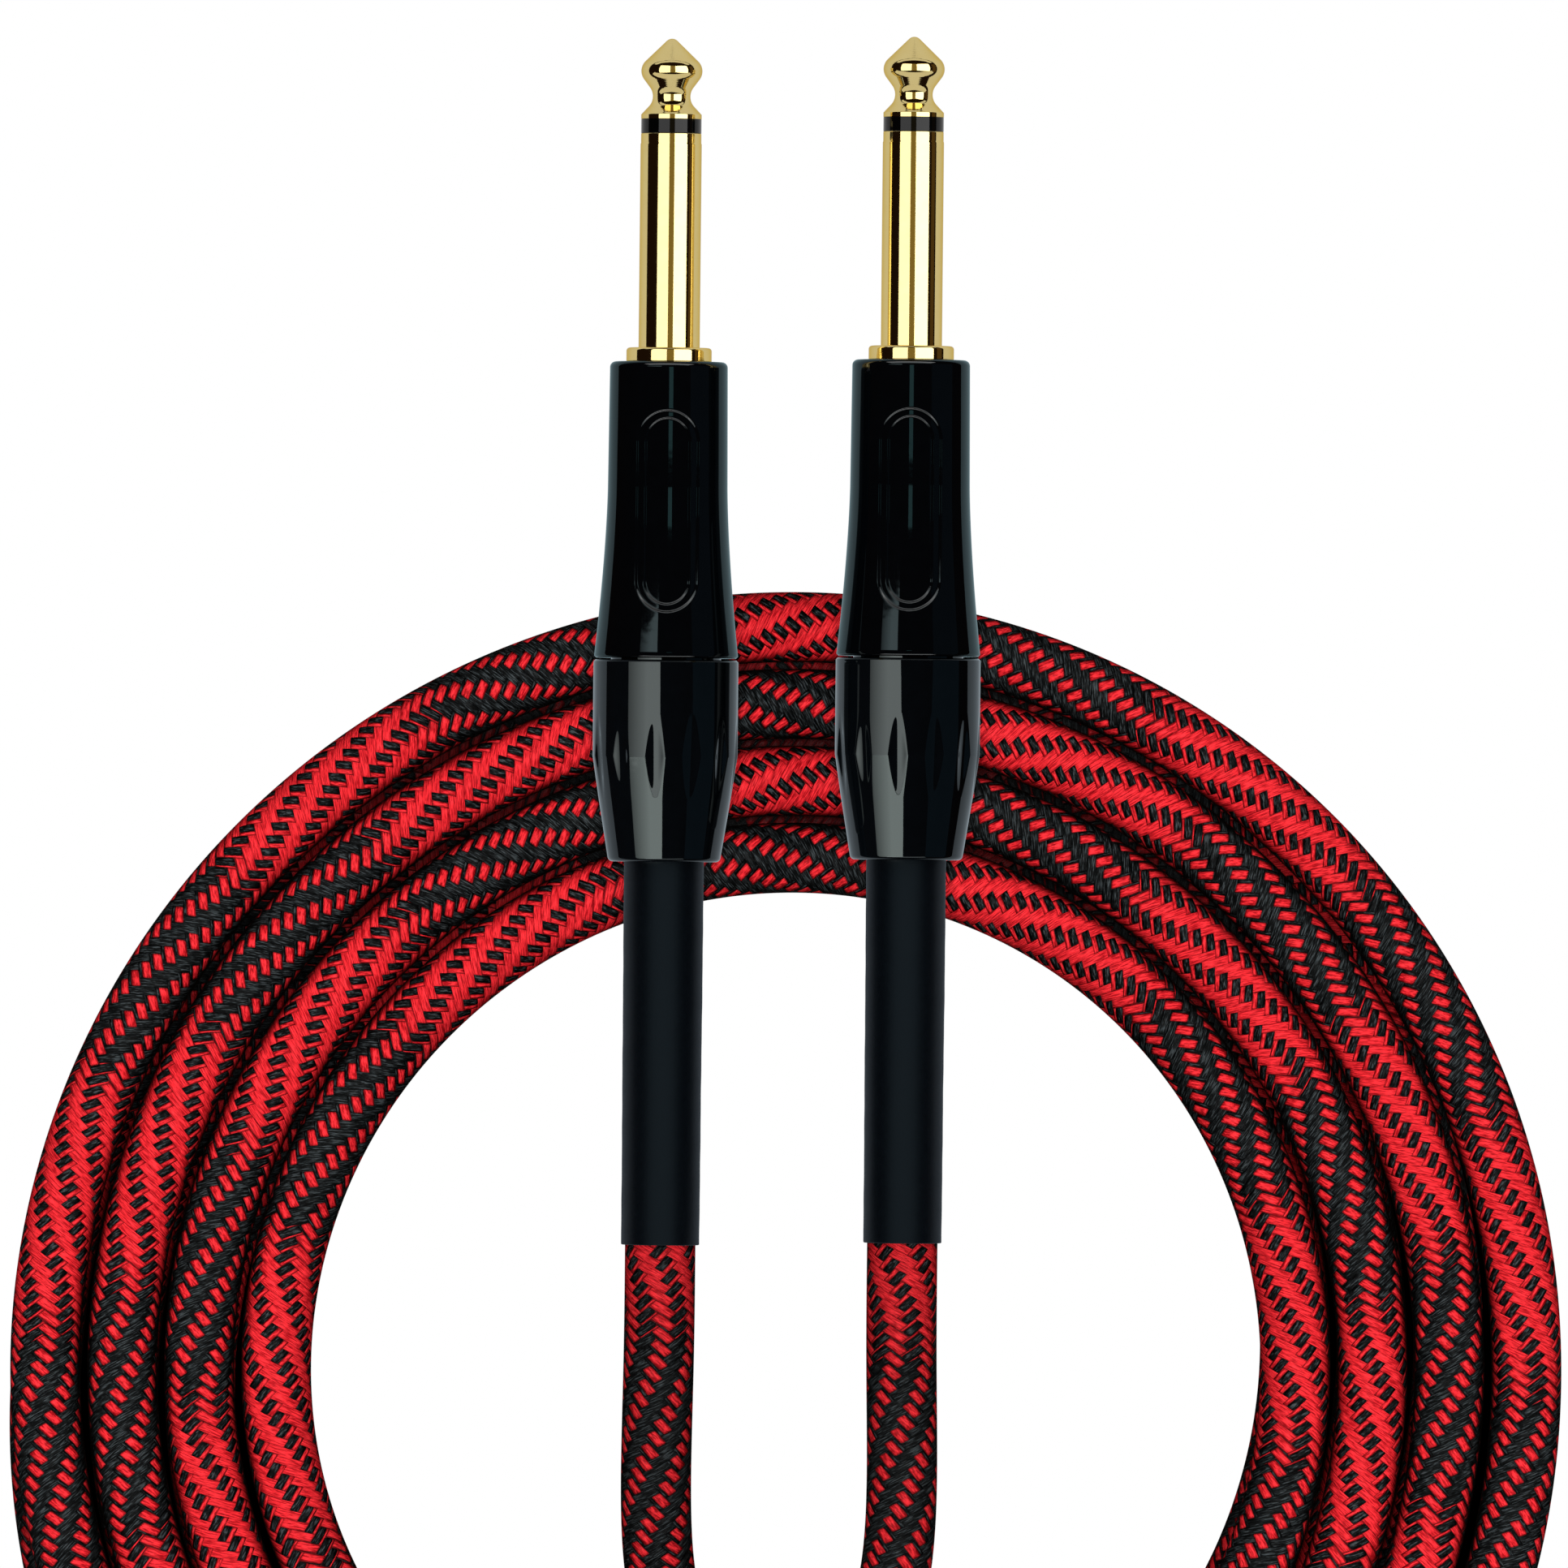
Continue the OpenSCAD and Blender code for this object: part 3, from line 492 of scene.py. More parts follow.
# %% Housing
SEAM_Z, FLARE_Z, FLARE_R, SEAM_R, FRONT_R, SEAM_EDGE = 64.19, 46.19, 6.2, 7.45, 6.1, 0.2
PANEL_Z, PANEL_LEN, PANEL_W, PANEL_RIM, PANEL_STEP = 49.015, 20.85, 6.4, 0.8, 0.22
PANEL_COLUMNS, COLUMN_STEP = 43, 0.08    # on each side of the middle, and mm between them
BACK_COLUMNS = 86
CLOSE_ROWS = (38.3, 59.8, 0.09)          # over the panel: from, to and step, in mm
FRONT_ROUND = 0.6
THREAD_R, THREAD_Z, LINING_R, STEP_Z, BORE_R = 5.78, 57.39, 4.9, 41.49, 4.05


def shell_r(z):
    """The housing's radius: a slight cone, then a flare that grows as t to the power 1.55."""
    cone = FRONT_R + (FLARE_R - FRONT_R) * (z - HOUSING_Z - FRONT_ROUND) / (
        FLARE_Z - HOUSING_Z - FRONT_ROUND)
    t = np.clip((z - FLARE_Z) / (SEAM_Z - SEAM_EDGE - FLARE_Z), 0, 1)
    return np.where(z < FLARE_Z, cone, FLARE_R + (SEAM_R - FLARE_R) * t**1.55)


def sunk(x, z, length, width, wall=0.16):
    """1 inside a stadium and 0 outside, with a soft wall: the distance from its spine."""
    spine = (length - width) / 2
    away = np.hypot(x, np.maximum(np.abs(z - PANEL_Z) - spine, 0)) - width / 2
    return soft_step(0.5 - away / wall)


outer_z = np.concatenate([[HOUSING_Z + FRONT_ROUND + HOLD, 36, 38], np.arange(*CLOSE_ROWS),
                          np.arange(60, SEAM_Z - 0.25, 0.4), [SEAM_Z - SEAM_EDGE]])
outside = np.vstack([arc([FRONT_R - FRONT_ROUND, HOUSING_Z + FRONT_ROUND], FRONT_ROUND, -90, 0, 12),
                     np.stack([shell_r(outer_z), outer_z], 1)])
shell_line = np.vstack([outside, outline(
    [[SEAM_R - SEAM_EDGE, SEAM_Z], [THREAD_R, SEAM_Z], [THREAD_R, THREAD_Z], [LINING_R, THREAD_Z],
     [LINING_R, STEP_Z], [BORE_R, STEP_Z], [BORE_R, HOUSING_Z],
     [FRONT_R - FRONT_ROUND - HOLD, HOUSING_Z]])])
r, z = shell_line[:, :1], shell_line[:, 1:]
near = np.arcsin(np.arange(-PANEL_COLUMNS, PANEL_COLUMNS) * COLUMN_STEP / r)
share = np.linspace(0, 1, BACK_COLUMNS, endpoint=False)
shell_angle = np.hstack([near, -near[:, :1] + (TAU + 2 * near[:, :1]) * share])
lateral = r * np.sin(shell_angle)
on_top = (np.arange(len(r)) < len(outside))[:, None] & (np.cos(shell_angle) > 0)
depth = PANEL_STEP * on_top * (sunk(lateral, z, PANEL_LEN, PANEL_W) + sunk(
    lateral, z, PANEL_LEN - 2 * PANEL_RIM, PANEL_W - 2 * PANEL_RIM))
housings = [stands_for(skin(f"housing_{k}", placed(side, r - depth, shell_angle, z), along=True,
                            sharp=75), f"plug_{k}_housing")
            for k, side in PLUGS.items()]
print("deepest point of the panel, mm:", depth.max(), "faces:", len(housings[0].data.polygons))

# %% [markdown]
# ## Tail cap
# The cap is turned, and a round cutter has taken twelve shallow lens-shaped flutes out of the
# bend, which give the fingers a hold. A cylinder seen along its length is a circle, so on each
# ray from the axis the cut begins at d cos t - sqrt(c^2 - d^2 sin^2 t), with c the cutter's
# radius and d the distance of its middle. A soft minimum, -e log(exp(-a / e) + exp(-b / e)),
# of this and the turned radius rounds the flutes' edges. The neck has a real thread: a
# triangle wave of z / pitch + turns.

# %% Tail cap
CAP_Z, BEND_Z, CAP_END_Z, NECK_Z = 64.39, 74.39, 85.29, 57.89
CAP_R, CAP_END_R, NECK_OUT_R = 7.5, 5.85, 5.7
CAP_BORE_R, CHUCK_R, NECK_BORE_R, CHUCK_Z, CHUCK_CONE_Z = 4.4, 4.5, 5.0, 75.89, 70.89
FLUTES, FIRST_FLUTE, FLUTE_EDGE = 12, math.radians(-8), 0.04
CUTTER_R, CUTTER_LEAN, DROP = 2.1, math.radians(4.33), 0.598
FLUTES_FROM, FLUTES_TO, ROW = -4.2, 4.3, 0.1     # mm from the bend, with close rows between
TAPER = math.atan((CAP_R - CAP_END_R) / (CAP_END_Z - BEND_Z))
CORNER, END_ROUND = 0.2, 0.5
THREAD_ROWS, THREAD_DEPTH = 12, 0.35     # rows a turn, and mm
LEAD_IN, RELIEF, RUN_OUT = 0.5, 0.5, 0.6     # mm over which the thread grows, is left out and dies

neck_z = np.arange(NECK_Z, CAP_Z, 1 / THREAD_ROWS)
fine_z = np.arange(BEND_Z + FLUTES_FROM, BEND_Z + FLUTES_TO, ROW)
on_cone = CAP_R - np.maximum(fine_z - BEND_Z, 0) * math.tan(TAPER)
neck = np.stack([np.full(len(neck_z), NECK_OUT_R), neck_z], 1)
body = np.vstack([
    outline([[CAP_R - CORNER, CAP_Z], [CAP_R, CAP_Z + CORNER], [CAP_R, fine_z[0] - ROW]]),
    np.stack([on_cone, fine_z], 1),
    outline([[on_cone[-1] - ROW * math.tan(TAPER), fine_z[-1] + ROW]],
            arc([CAP_END_R - END_ROUND, CAP_END_Z - END_ROUND], END_ROUND,
                math.degrees(TAPER), 90, 10))])
inside = outline([[CAP_BORE_R, CAP_END_Z], [CAP_BORE_R, CHUCK_Z], [CHUCK_R, CHUCK_Z],
                  [NECK_BORE_R, CHUCK_CONE_Z], [NECK_BORE_R, NECK_Z]])
cap_line = np.vstack([neck, [[NECK_OUT_R, CAP_Z]], body, inside])
# the columns of one flute's 30 degrees, close together where the flute is
sector = np.concatenate([[-15, -13, -11], np.linspace(-9, 9, 31), [11, 13]])
cap_angle = np.radians((np.arange(FLUTES) * 360 / FLUTES)[:, None] + sector).ravel() + FIRST_FLUTE
r, z = cap_line[:, :1], cap_line[:, 1:]
row = np.arange(len(r))[:, None]
off = (cap_angle - FIRST_FLUTE + np.pi / FLUTES) % (TAU / FLUTES) - np.pi / FLUTES
cutter = CAP_R - DROP / 2 + CUTTER_R * math.cos(CUTTER_LEAN) - (
    z - BEND_Z - CUTTER_R * math.sin(CUTTER_LEAN)) * math.tan(CUTTER_LEAN)
under = CUTTER_R**2 - (cutter * np.sin(off)) ** 2
cut = np.where(under > 0, cutter * np.cos(off) - np.sqrt(np.maximum(under, 0)), CAP_R + 1)
eased = -FLUTE_EDGE * np.logaddexp(-r / FLUTE_EDGE, -cut / FLUTE_EDGE)
is_body = (row > len(neck)) & (row <= len(neck) + len(body))
ridge = 1 - np.abs(2 * ((z + cap_angle / TAU) % 1) - 1)
full = soft_step((z - NECK_Z) / LEAD_IN) * soft_step((CAP_Z - RELIEF - z) / RUN_OUT)
threaded = NECK_OUT_R - THREAD_DEPTH * ridge * full
cap_r = np.where(is_body, eased, np.where(row < len(neck), threaded, r))
caps = [stands_for(skin(f"tail_cap_{k}", placed(side, cap_r, cap_angle, z), along=True, sharp=50),
                   f"plug_{k}_tail_cap", f"cap_{k}") for k, side in PLUGS.items()]
print("a flute's depth, mm:", round(float((r - cap_r)[is_body[:, 0]].max()), 3),
      "faces:", len(caps[0].data.polygons))

# %% [markdown]
# ## Heat-shrink
# A polyolefin tube is slipped over the cord and shrunk with hot air. It ends up smooth but
# never quite even, because it settles on the braid: slow waves of a few hundredths of a
# millimetre, along and round it, keep its highlight from looking ruled.

# %% Heat-shrink
SHRINK_Z, SHRINK_END_Z, SHRINK_R, SHRINK_END_R = 82.69, 124.99, 4.15, 4.075
SHRINK_BORE_R, SHRINK_ROUND, SHRINK_WAVE = 3.62, 0.12, 0.035
skin_z = np.linspace(SHRINK_Z, SHRINK_END_Z - 0.2, 110)
skin_r = SHRINK_R + (SHRINK_END_R - SHRINK_R) * soft_step(
    (skin_z - CAP_END_Z) / (skin_z[-1] - CAP_END_Z))
shrink_line = np.vstack([
    np.stack([skin_r, skin_z], 1),
    arc([SHRINK_END_R - SHRINK_ROUND, SHRINK_END_Z - SHRINK_ROUND], SHRINK_ROUND, 0, 90, 4),
    outline([[SHRINK_BORE_R, SHRINK_END_Z], [SHRINK_BORE_R, SHRINK_Z]])])
r, z = shrink_line[:, :1], shrink_line[:, 1:]
waves = (np.sin(z * 0.9 + 2 * ROUND) + np.sin(z * 0.37 - ROUND + 1) + np.sin(z * 1.7 + 3 * ROUND)) / 3
is_outside = r > (SHRINK_BORE_R + SHRINK_END_R) / 2
settled = r - SHRINK_WAVE * (waves + 1) / 2 * is_outside
shrinks = [stands_for(skin(f"heat_shrink_{k}", placed(side, settled, ROUND, z), along=True),
                      f"plug_{k}_heat_shrink") for k, side in PLUGS.items()]
print("faces of a heat-shrink:", len(shrinks[0].data.polygons))

# %% [markdown]
# ## Making materials
# Colours are written as sRGB hex values, as a painter's chart gives them, and turned into the
# linear numbers that the shader works with. One function adds every node, and a second one
# uses it to blend two colours.

# %% Material tools
def linear(code):
    """Linear RGBA of an sRGB hex value: ((c + 0.055) / 1.055) ** 2.4 above 0.04045."""
    c = np.array([int(code[k:k + 2], 16) for k in (1, 3, 5)]) / 255
    rgb = np.where(c > 0.04045, ((c + 0.055) / 1.055) ** 2.4, c / 12.92)
    return (*rgb.tolist(), 1.0)


def add(tree, kind, *values, out=0, named=(), **settings):
    """Adds a node, sets its settings, fills its inputs in order or by name with values or
    links, and returns one of its outputs."""
    node = tree.nodes.new(kind)
    for key, value in settings.items():
        setattr(node, key, value)
    for key, value in [*enumerate(values), *dict(named).items()]:
        if isinstance(value, bpy.types.NodeSocket):
            tree.links.new(value, node.inputs[key])
        elif value is not None:
            node.inputs[key].default_value = value
    return node.outputs[out] if len(node.outputs) else node


def blend(tree, share, first, second, **settings):
    """The colour that lies a share of the way from the first to the second."""
    return add(tree, MIX, named={0: share, 6: first, 7: second}, data_type="RGBA", out=2, **settings)


def new_material(name):
    """An empty material and its node tree."""
    material = bpy.data.materials.new(name)
    material.use_nodes = True
    material.node_tree.nodes.clear()
    return material, material.node_tree


MATH, MIX, SHADER = "ShaderNodeMath", "ShaderNodeMix", "ShaderNodeBsdfPrincipled"
OUTPUT, BUMP, NOISE = "ShaderNodeOutputMaterial", "ShaderNodeBump", "ShaderNodeTexNoise"
COORDS, MAPPING = "ShaderNodeTexCoord", "ShaderNodeMapping"
print("the cord's red in linear light:", linear("#D0121C")[:3])

# %% [markdown]
# ## Braided jacket
# The jacket is braided from dyed nylon multifilament yarn on a machine with 24 carriers, each
# yarn passing over two and under two of the others. Half of the carriers go one way round
# (red yarn) and half the other way (black).
#
# On the map, u counts turns and v millimetres. With p = 12 u and q = v / 1.3, the red yarns
# run along q - p = const and the black ones along q + p = const, and the four phases of
# (i - j) mod 4 say which of them is on top.

# %% Braided jacket
CARRIERS = 12          # yarns in each direction
FLOAT_STEP = 1.3       # mm along the cord between crossings

braid, tree = new_material("braided_nylon_jacket")
split = add(tree, "ShaderNodeSeparateXYZ", add(tree, "ShaderNodeUVMap", uv_map="UVMap")).node
p = add(tree, MATH, split.outputs[0], CARRIERS, operation="MULTIPLY")
q = add(tree, MATH, split.outputs[1], FLOAT_STEP, operation="DIVIDE")
lane_a = add(tree, MATH, q, p, operation="SUBTRACT")
lane_b = add(tree, MATH, q, p, operation="ADD")
i = add(tree, MATH, lane_a, operation="FLOOR")
j = add(tree, MATH, lane_b, operation="FLOOR")
fa = add(tree, MATH, lane_a, operation="FRACT")
fb = add(tree, MATH, lane_b, operation="FRACT")
phase = add(tree, MATH, add(tree, MATH, i, j, operation="SUBTRACT"), 4.0, operation="FLOORED_MODULO")
red_on_top = add(tree, MATH, phase, 1.5, operation="LESS_THAN")


def either(black_value, red_value, choice=red_on_top):
    """The second value where the red yarn is on top, and the first where the black one is."""
    return add(tree, MIX, named={0: choice, 2: black_value, 3: red_value}, data_type="FLOAT")


def from_middle(x):
    """|2x - 1|: 0 in the middle of 0 to 1, and 1 at both ends."""
    return add(tree, MATH, add(tree, MATH, x, 2.0, -1.0, operation="MULTIPLY_ADD"), operation="ABSOLUTE")


print("nodes so far:", len(tree.nodes))

# %% [markdown]
# A yarn stays on top for two crossings and dives at both ends: that is its float. The width
# across its lane and the run along its float place each point on it, and edge and reach say
# how far the point is from the middle, 0 to 1. Where the braid leans one way, the red yarns
# crowd, close up and flatten, while the black ones leave slits, through which the red shows.

# %% Place on the yarn
# how much of its lane a yarn fills: a slope for the lean, and the share where nothing leans
BLACK_FILL, RED_FILL = (-0.40, 0.80), (0.30, 0.87)

lean_here = add(tree, "ShaderNodeAttribute", attribute_name="lean", out=2)
width_at = either(fb, fa)
red_run = add(tree, MATH, add(tree, MATH, fb, phase, operation="SUBTRACT"), 1.0, operation="ADD")
black_run = add(tree, MATH, add(tree, MATH, fa, phase, operation="ADD"), -2.0, operation="ADD")
reach = from_middle(add(tree, MATH, either(black_run, red_run), 0.5, operation="MULTIPLY"))
fill = either(add(tree, MATH, lean_here, *BLACK_FILL, operation="MULTIPLY_ADD"),
              add(tree, MATH, lean_here, *RED_FILL, operation="MULTIPLY_ADD"))
crowded = add(tree, "ShaderNodeMapRange", fill, 0.86, 0.98, 0.0, 1.0)
edge = from_middle(add(tree, MATH, width_at, fill, operation="DIVIDE"))
# a float is a bead with rounded corners: edge^4 + reach^8 < 1
corner = add(tree, MATH, add(tree, MATH, edge, 4.0, operation="POWER"),
             add(tree, MATH, reach, 8.0, operation="POWER"), operation="ADD")
own = add(tree, MATH, corner, add(tree, MATH, crowded, 9.0, 1.0, operation="MULTIPLY_ADD"),
          operation="LESS_THAN")
rest = add(tree, MATH, add(tree, MATH, width_at, fill, operation="SUBTRACT"),
           add(tree, MATH, add(tree, MATH, 1.0, fill, operation="SUBTRACT"), 0.05, operation="MAXIMUM"),
           operation="DIVIDE")
edge = either(from_middle(rest), edge, own)
# the yarn's rounded back and its dive at both ends of the float, flatter where it is crowded
depth = add(tree, MATH, crowded, -0.6, 1.0, operation="MULTIPLY_ADD")
back = add(tree, MATH, 1.0, add(tree, MATH, add(tree, MATH, edge, 3.0, operation="POWER"), depth,
                                operation="MULTIPLY"), operation="SUBTRACT")
dive = add(tree, MATH, 1.0, add(tree, MATH, add(tree, MATH, reach, 5.0, operation="POWER"), depth,
                                operation="MULTIPLY"), operation="SUBTRACT")
hump = add(tree, MATH, add(tree, MATH, back, dive, operation="MULTIPLY"), 0.0, operation="MAXIMUM")
print("nodes so far:", len(tree.nodes))

# %% [markdown]
# Multifilament yarn is a flat bundle of fibres finer than a hair: a noise drawn out along the
# yarn, with seven strokes side by side, makes some fibres lighter and some darker, and its
# light strokes are painted glints, many on red yarn and few on black. Where the red yarn is on
# top but the point isn't on it, the black yarn below shows, and the other way round. The
# hollows between the yarns get painted shade, and so do the places that aren't open.

# %% Colours of the yarn
FIBRES, ASIDE = 7.0, 9.0     # strokes side by side; red takes them from another part of the noise
YARN_HEIGHT = 0.45           # mm

fibre = add(tree, "ShaderNodeCombineXYZ",
            add(tree, MATH, either(lane_b, lane_a), FIBRES, operation="MULTIPLY"),
            either(lane_a, lane_b), add(tree, MATH, red_on_top, ASIDE, operation="MULTIPLY"))
fibres = add(tree, NOISE, named={"Vector": fibre, "Scale": 1.0, "Detail": 2.0, "Roughness": 0.6})
fibre_tone_and_glint = add(tree, "ShaderNodeMapRange", fibres, 0.38, 0.62, 0.0, 1.0)
is_red = add(tree, MATH, 1.0, add(tree, MATH, add(tree, MATH, own, red_on_top, operation="SUBTRACT"),
                                  operation="ABSOLUTE"), operation="SUBTRACT")
# painted glints: the light fibre strokes brighten the red, and only the brightest ones the black
red = blend(tree, fibre_tone_and_glint, linear("#9A0812"), linear("#FF3038"))
black = blend(tree, add(tree, MATH, fibre_tone_and_glint, 4.0, operation="POWER"), linear("#040505"),
              linear("#3B4143"))
colour = blend(tree, is_red, black, red)
shade = add(tree, MATH, add(tree, "ShaderNodeMapRange", hump, 0.0, 0.6, 0.12, 1.0),
            add(tree, "ShaderNodeAttribute", attribute_name="open", out=2), operation="MULTIPLY")
colour = blend(tree, 1.0, colour, shade, blend_type="MULTIPLY")
height = add(tree, MATH, fibres, 0.4, hump, operation="MULTIPLY_ADD")
bump = add(tree, BUMP, named={"Strength": 1.0, "Distance": YARN_HEIGHT * MM, "Height": height})
add(tree, OUTPUT, add(tree, SHADER, named={"Base Color": colour, "Roughness": 0.45, "Normal": bump,
                                           "Specular IOR Level": 0.06}))
cable.data.materials.append(braid)
print("nodes in the braid:", len(tree.nodes))

# %% [markdown]
# ## Gold plate
# The contacts are brass, turned and polished, then plated with nickel and a flash of gold.
# Polish makes them a mirror, so their stripes are the room itself. What is left of the lathe
# are very fine grooves round the axis: 0.15 mm apart here, a few times coarser than the real
# ones, so that they show at all.

# %% Gold plate
GROOVE_SCALE = 2093.33   # the wave node turns 20 * scale radians a metre: a groove each 0.15 mm

gold, tree = new_material("polished_gold_plate")
place = add(tree, COORDS, out=3)
grooves = add(tree, "ShaderNodeTexWave", named={"Vector": place, "Scale": GROOVE_SCALE,
                                                "Distortion": 0.4, "Detail": 1.0},
              bands_direction="Y", out=1)
clouds = add(tree, NOISE, named={"Vector": place, "Scale": 900.0, "Detail": 3.0})
worn = add(tree, MATH, clouds, 0.08, 0.02, operation="MULTIPLY_ADD")
tint = blend(tree, clouds, linear("#F3DF9C"), linear("#F0D890"))
fine = add(tree, BUMP, named={"Strength": 0.05, "Distance": 0.01 * MM, "Height": grooves})
add(tree, OUTPUT, add(tree, SHADER, named={"Base Color": tint, "Metallic": 1.0, "Roughness": worn,
                                           "Specular Tint": linear("#F0DDA8"), "Normal": fine}))
print("nodes in the gold:", len(tree.nodes))

# %% [markdown]
# ## Black lacquer
# The shells are zinc castings under baked black lacquer. Lacquer is glass clear at its
# surface and black below: almost no light comes back from inside, and all that the eye gets
# are sharp reflections, dim where it looks straight down and brighter towards the edges. It
# flows out with a faint orange peel, a millimetre or two wide.

# %% Black lacquer
lacquer, tree = new_material("baked_black_lacquer")
place = add(tree, COORDS, out=3)
peel = add(tree, NOISE, named={"Vector": place, "Scale": 700.0, "Detail": 1.0})
dust = add(tree, NOISE, named={"Vector": place, "Scale": 5000.0, "Detail": 2.0})
haze = add(tree, MATH, dust, 0.05, 0.01, operation="MULTIPLY_ADD")
pigment = blend(tree, peel, linear("#05070A"), linear("#080B0F"))
bump = add(tree, BUMP, named={"Strength": 0.12, "Distance": 0.02 * MM, "Height": peel})
add(tree, OUTPUT, add(tree, SHADER, named={"Base Color": pigment, "Roughness": haze, "IOR": 1.52,
                                           "Normal": bump}))
print("nodes in the lacquer:", len(tree.nodes))

# %% [markdown]
# ## Heat-shrink, ring and the parts inside
# Polyolefin heat-shrink is satin, with a fine leathery grain. The ring is moulded nylon,
# harder and glossier. The insulators inside are milky nylon that lets some light in, the
# lugs are tinned brass, dull and slightly mottled, the chuck is glass-filled PBT, and the
# solder has the soft shine of a surface that froze quickly.

# %% Plain moulded and metal parts
def grainy(name, dark, light, scale, rough, bump, **shader):
    """A material whose colour, roughness and height all follow one noise of a real size:
    scale is the grain's width in millimetres, rough its two roughnesses, bump its height."""
    material, tree = new_material(name)
    grain = add(tree, NOISE, named={"Vector": add(tree, COORDS, out=3), "Scale": 1000 / scale,
                                    "Detail": 4.0, "Roughness": 0.6})
    tint = blend(tree, grain, linear(dark), linear(light))
    roughness = add(tree, MATH, grain, rough[1] - rough[0], rough[0], operation="MULTIPLY_ADD")
    relief = add(tree, BUMP, named={"Strength": 0.6, "Distance": bump * MM, "Height": grain})
    add(tree, OUTPUT, add(tree, SHADER, named={"Base Color": tint, "Roughness": roughness,
                                               "Normal": relief, **shader}))
    return material


shrunk = grainy("satin_polyolefin_heat_shrink", "#0A1016", "#0F1720", 0.5, (0.36, 0.5), 0.02)
nylon_black = grainy("moulded_black_nylon", "#020203", "#050506", 0.4, (0.03, 0.07), 0.001,
                     **{"Specular IOR Level": 0.3})
nylon_milky = grainy("milky_natural_nylon", "#CFCBBE", "#DEDBD0", 1.2, (0.38, 0.5), 0.01)
tinned = grainy("tinned_brass_sheet", "#A9ABAC", "#C4C6C6", 0.6, (0.22, 0.42), 0.01, Metallic=1.0)
copper = grainy("drawn_copper_wire", "#C77A55", "#DD9873", 0.25, (0.2, 0.4), 0.01, Metallic=1.0)
tin_solder = grainy("frozen_tin_solder", "#A4A6A8", "#BDBFC1", 0.8, (0.25, 0.45), 0.02, Metallic=1.0)
chuck_grey = grainy("glass_filled_pbt", "#3B3E42", "#4C5054", 0.3, (0.42, 0.58), 0.02)
core_white = grainy("foamed_polyethylene_core", "#D9D9D4", "#E9E9E5", 0.4, (0.4, 0.55), 0.01)
finishes = {"rear_insulator": nylon_milky, "insulating_tube": nylon_milky, "tip_lug": tinned,
            "ground_lug": tinned, "core_insulation": core_white, "core_wire": copper,
            "shield_pigtail": copper, "solder_joints": tin_solder, "chuck": chuck_grey}
for name, material in finishes.items():
    for k in PLUGS:
        for slot in nodes[f"plug_{k}_{name}"].material_slots:
            slot.material = material
for pieces, material in ((tips, gold), (sleeves, gold), (rings, nylon_black), (housings, lacquer),
                         (caps, lacquer), (shrinks, shrunk)):
    for piece in pieces:
        piece.data.materials.append(material)
print("finishes on the inner parts:", len(finishes))

# %% [markdown]
# ## Floor and light
# The cable lies on a white light table with a dark ring of painted shade on it under the
# coil, so that the gaps between the strands stay dark. Polished gold and black lacquer show
# nothing but their surroundings: a round bar turns a box beside it into a stripe along its
# side, and the dark room between the boxes into the black between the stripes. At a fraction
# f of the bar's width the surface leans by asin(2 f - 1), so the eye sees what stands at twice that
# angle.

# %% Floor
SHADE_RING_CENTRE = (-0.8, 0, 0)                # mm in the drawing
SHADE_RING_MIDDLE, SHADE_RING_REACH = 65.55, 11.75     # the painted shade under the coil is a ring that reaches this far to both sides

bpy.ops.mesh.primitive_plane_add(size=6)
floor = bpy.context.object
floor.name = "floor"
white, tree = new_material("white_light_table")
place = add(tree, MAPPING, named={0: add(tree, COORDS, out=3), 1: (-in_scene(SHADE_RING_CENTRE)).tolist()})
from_centre = add(tree, "ShaderNodeVectorMath", place, operation="LENGTH", out=1)
# painted shade: the floor doesn't glow in a ring under the coil
in_shade_ring = add(tree, MATH, from_centre, SHADE_RING_MIDDLE * MM, SHADE_RING_REACH * MM, operation="COMPARE")
glow = add(tree, MATH, 1.0, in_shade_ring, operation="SUBTRACT")
add(tree, OUTPUT, add(tree, "ShaderNodeEmission", (1, 1, 1, 1), glow))
floor.data.materials.append(white)
floor.visible_diffuse = floor.visible_glossy = floor.visible_shadow = False
print("the floor is", floor.dimensions.x, "m wide")

# %% [markdown]
# Each box is linked to the pieces that it is there for, as a photographer keeps a box's light
# off the rest with black flags. One that fades towards a long edge gives a highlight that is
# soft on that side.

# %% Lamps
def softbox(name, lit, centre, size, radiance, target=(0, 20, 20), colour=(1, 1, 1), fade=False):
    """A rectangular lamp at a place in scene millimetres that faces a target and lights only
    some pieces. Its power is the radiance that it should show, times pi and its area. One that
    fades is down to 0.3 of that at one of its long edges."""
    lamp = bpy.data.lights.new(name, "AREA")
    lamp.shape = "RECTANGLE"
    lamp.size, lamp.size_y = size[0] * MM, size[1] * MM
    lamp.energy = radiance * math.pi * lamp.size * lamp.size_y
    lamp.color = colour
    if fade:
        lamp.use_nodes = True
        tree = lamp.node_tree
        over_box = add(tree, "ShaderNodeNewGeometry", out=5)
        over_width = add(tree, "ShaderNodeSeparateXYZ", over_box, out=1)
        dimming = add(tree, "ShaderNodeMapRange", over_width, 0.0, 0.6, 0.3, 1.0)
        tree.links.new(dimming, tree.nodes["Emission"].inputs["Strength"])
    box = bpy.data.objects.new(name, lamp)
    place, toward = np.array(centre) * MM, np.array(target) * MM
    away = place - toward
    box.location = place
    box.rotation_euler = (math.atan2(math.hypot(away[0], away[1]), away[2]), 0,
                          math.atan2(away[0], -away[1]))
    box.visible_camera = False
    box.light_linking.receiver_collection = lit
    bpy.context.scene.collection.objects.link(box)
    return box


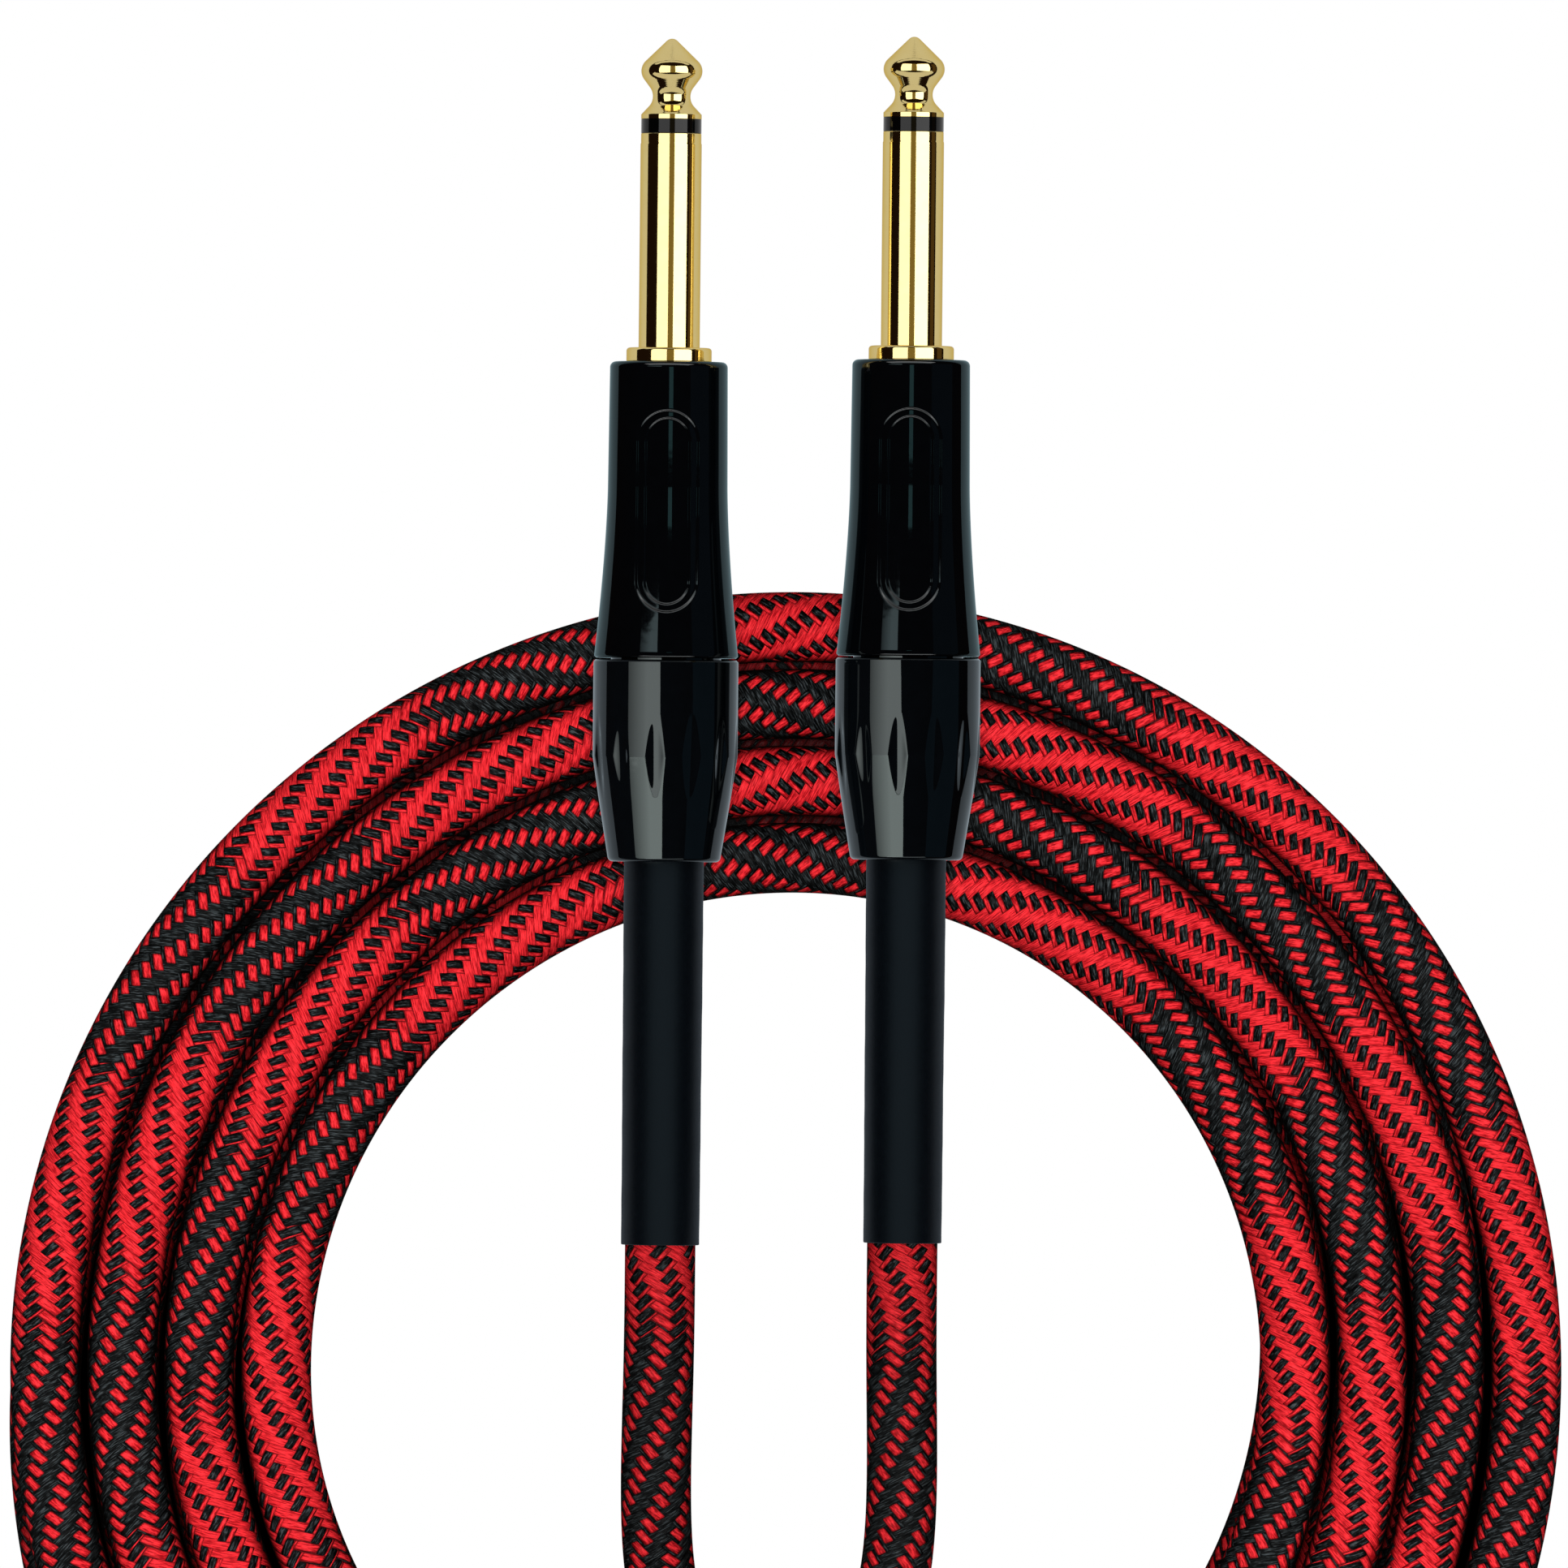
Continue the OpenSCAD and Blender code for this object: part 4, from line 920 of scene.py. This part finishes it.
def strip(name, lit, angles, stretch, radiance, far=350, colour=(1, 1, 1), fade=False):
    """A box along the plugs, seen from them between two angles from the vertical, and from
    one y to another, both in scene millimetres."""
    middle, half = math.radians(sum(angles) / 2), math.radians(angles[1] - angles[0]) / 2
    y = sum(stretch) / 2
    centre = (far * math.sin(middle), y, PLUG_Z + far * math.cos(middle))
    return softbox(name, lit, centre, (stretch[1] - stretch[0], 2 * far * math.tan(half)), radiance,
                   (0, y, PLUG_Z), colour, fade)


def group(name, pieces, state="INCLUDE"):
    """A list of the pieces that a box lights, or of those that it leaves out."""
    collection = bpy.data.collections.new(name)
    for piece in pieces:
        collection.objects.link(piece)
    for entry in collection.collection_objects:
        entry.light_linking.link_state = state
    return collection


print("lamps are ready")

# %% [markdown]
# The contacts get a cream and a white stripe along them, with an amber line between the two.
# The shells and caps get short highlights, and low boxes at both ends draw the panels' rims.
# The glow boxes lie at the table's height: they are the light table itself, seen in each round
# piece's edges. The high boxes at the ends show the lacquer's curves from every other side.
# The rest, which is the braid, has one lamp high above it and a ring of low ones round it, so
# that the light comes under the coil's rim too.

# %% Lights
LACQUER_BLUE = (0.85, 0.97, 1)
RING_OUT, RING_UP, COIL_Y = 300, 90, -27     # mm in the scene; the ring is round the coil's middle

contacts = group("contacts", tips + rings + sleeves)
shells = group("shells", housings)
tail_caps = group("tail_caps", caps)
tubes = group("tubes", shrinks)
the_rest = group("the_rest", tips + rings + sleeves + housings + caps + shrinks, "EXCLUDE")
strip("cream_stripe", contacts, (-50, -8), (12, 400), 1.8)
strip("amber_line", contacts, (-7, 11), (12, 400), 0.21, colour=(1, 0.75, 0.25))
strip("white_stripe", contacts, (12, 63), (12, 380), 2.7)
strip("amber_side", contacts, (74, 90), (0, 300), 0.06, colour=(1, 0.6, 0.2))
softbox("behind_contacts", contacts, (0, -164, 237), (1800, 283), 0.64, (0, 112, 22))
softbox("before_contacts", contacts, (0, 700, 112), (1400, 190), 0.64, (0, 112, 112))
strip("front_highlight", shells, (-1, 7), (78, 100), 0.6, colour=(0.4, 0.95, 1))
strip("flare_highlight", shells, (-44, -16), (117, 170), 1.35, colour=(0.7, 0.95, 1), fade=True)
softbox("rim_front", shells, (0, 600, 300), (900, 160), 3.0)
softbox("rim_back", shells, (0, -600, 300), (900, 160), 3.0)
strip("cap_highlight", tail_caps, (-62, -11), (-60, 90), 2.7, colour=(0.88, 1, 0.98), fade=True)
strip("taper_highlight", tail_caps, (-62, -6), (-330, -60), 3.7, colour=(0.85, 1, 0.96), fade=True)
for lit, radiance in ((shells, 0.045), (tail_caps, 0.08)):
    strip("side", lit, (42, 88), (-200, 200), radiance, colour=(0.3, 0.7, 1))
strip("tube_light", tubes, (-75, 75), (-300, 300), 0.3, colour=(0.6, 0.85, 1))
for lit, half_width, radiance, colour in (
        (contacts, 250, 0.64, (1, 1, 1)), (shells, 80, 0.42, (0.6, 0.9, 1)),
        (tail_caps, 110, 0.55, (0.75, 0.9, 1)), (tubes, 250, 0.32, (0.7, 0.85, 1))):
    softbox("glow", lit, (0, 250, -5), (2 * half_width, 900), radiance, (0, 250, 0), colour)
for way in (-1, 1):
    for lit, radiance in ((shells, 1.6), (tail_caps, 1.6), (tubes, 0.5)):
        softbox("end_light", lit, (0, way * 620, 560), (1100, 240), radiance, colour=LACQUER_BLUE)
softbox("overhead", the_rest, (0, 60, 1200), (300, 300), 60.0)
for k in range(8):
    heading = TAU * (k + 0.5) / 8
    centre = (RING_OUT * math.cos(heading), RING_OUT * math.sin(heading) + COIL_Y, RING_UP)
    softbox(f"ring_{k}", the_rest, centre, (160, 110), 3.0, (0, COIL_Y, 0))
world = bpy.data.worlds.new("studio")
bpy.context.scene.world = world
world.use_nodes = True
room = world.node_tree.nodes["Background"]
room.inputs["Color"].default_value = (0.01, 0.005, 0.003, 1)
world.cycles_visibility.diffuse = False
bpy.context.scene.view_settings.view_transform = "Standard"
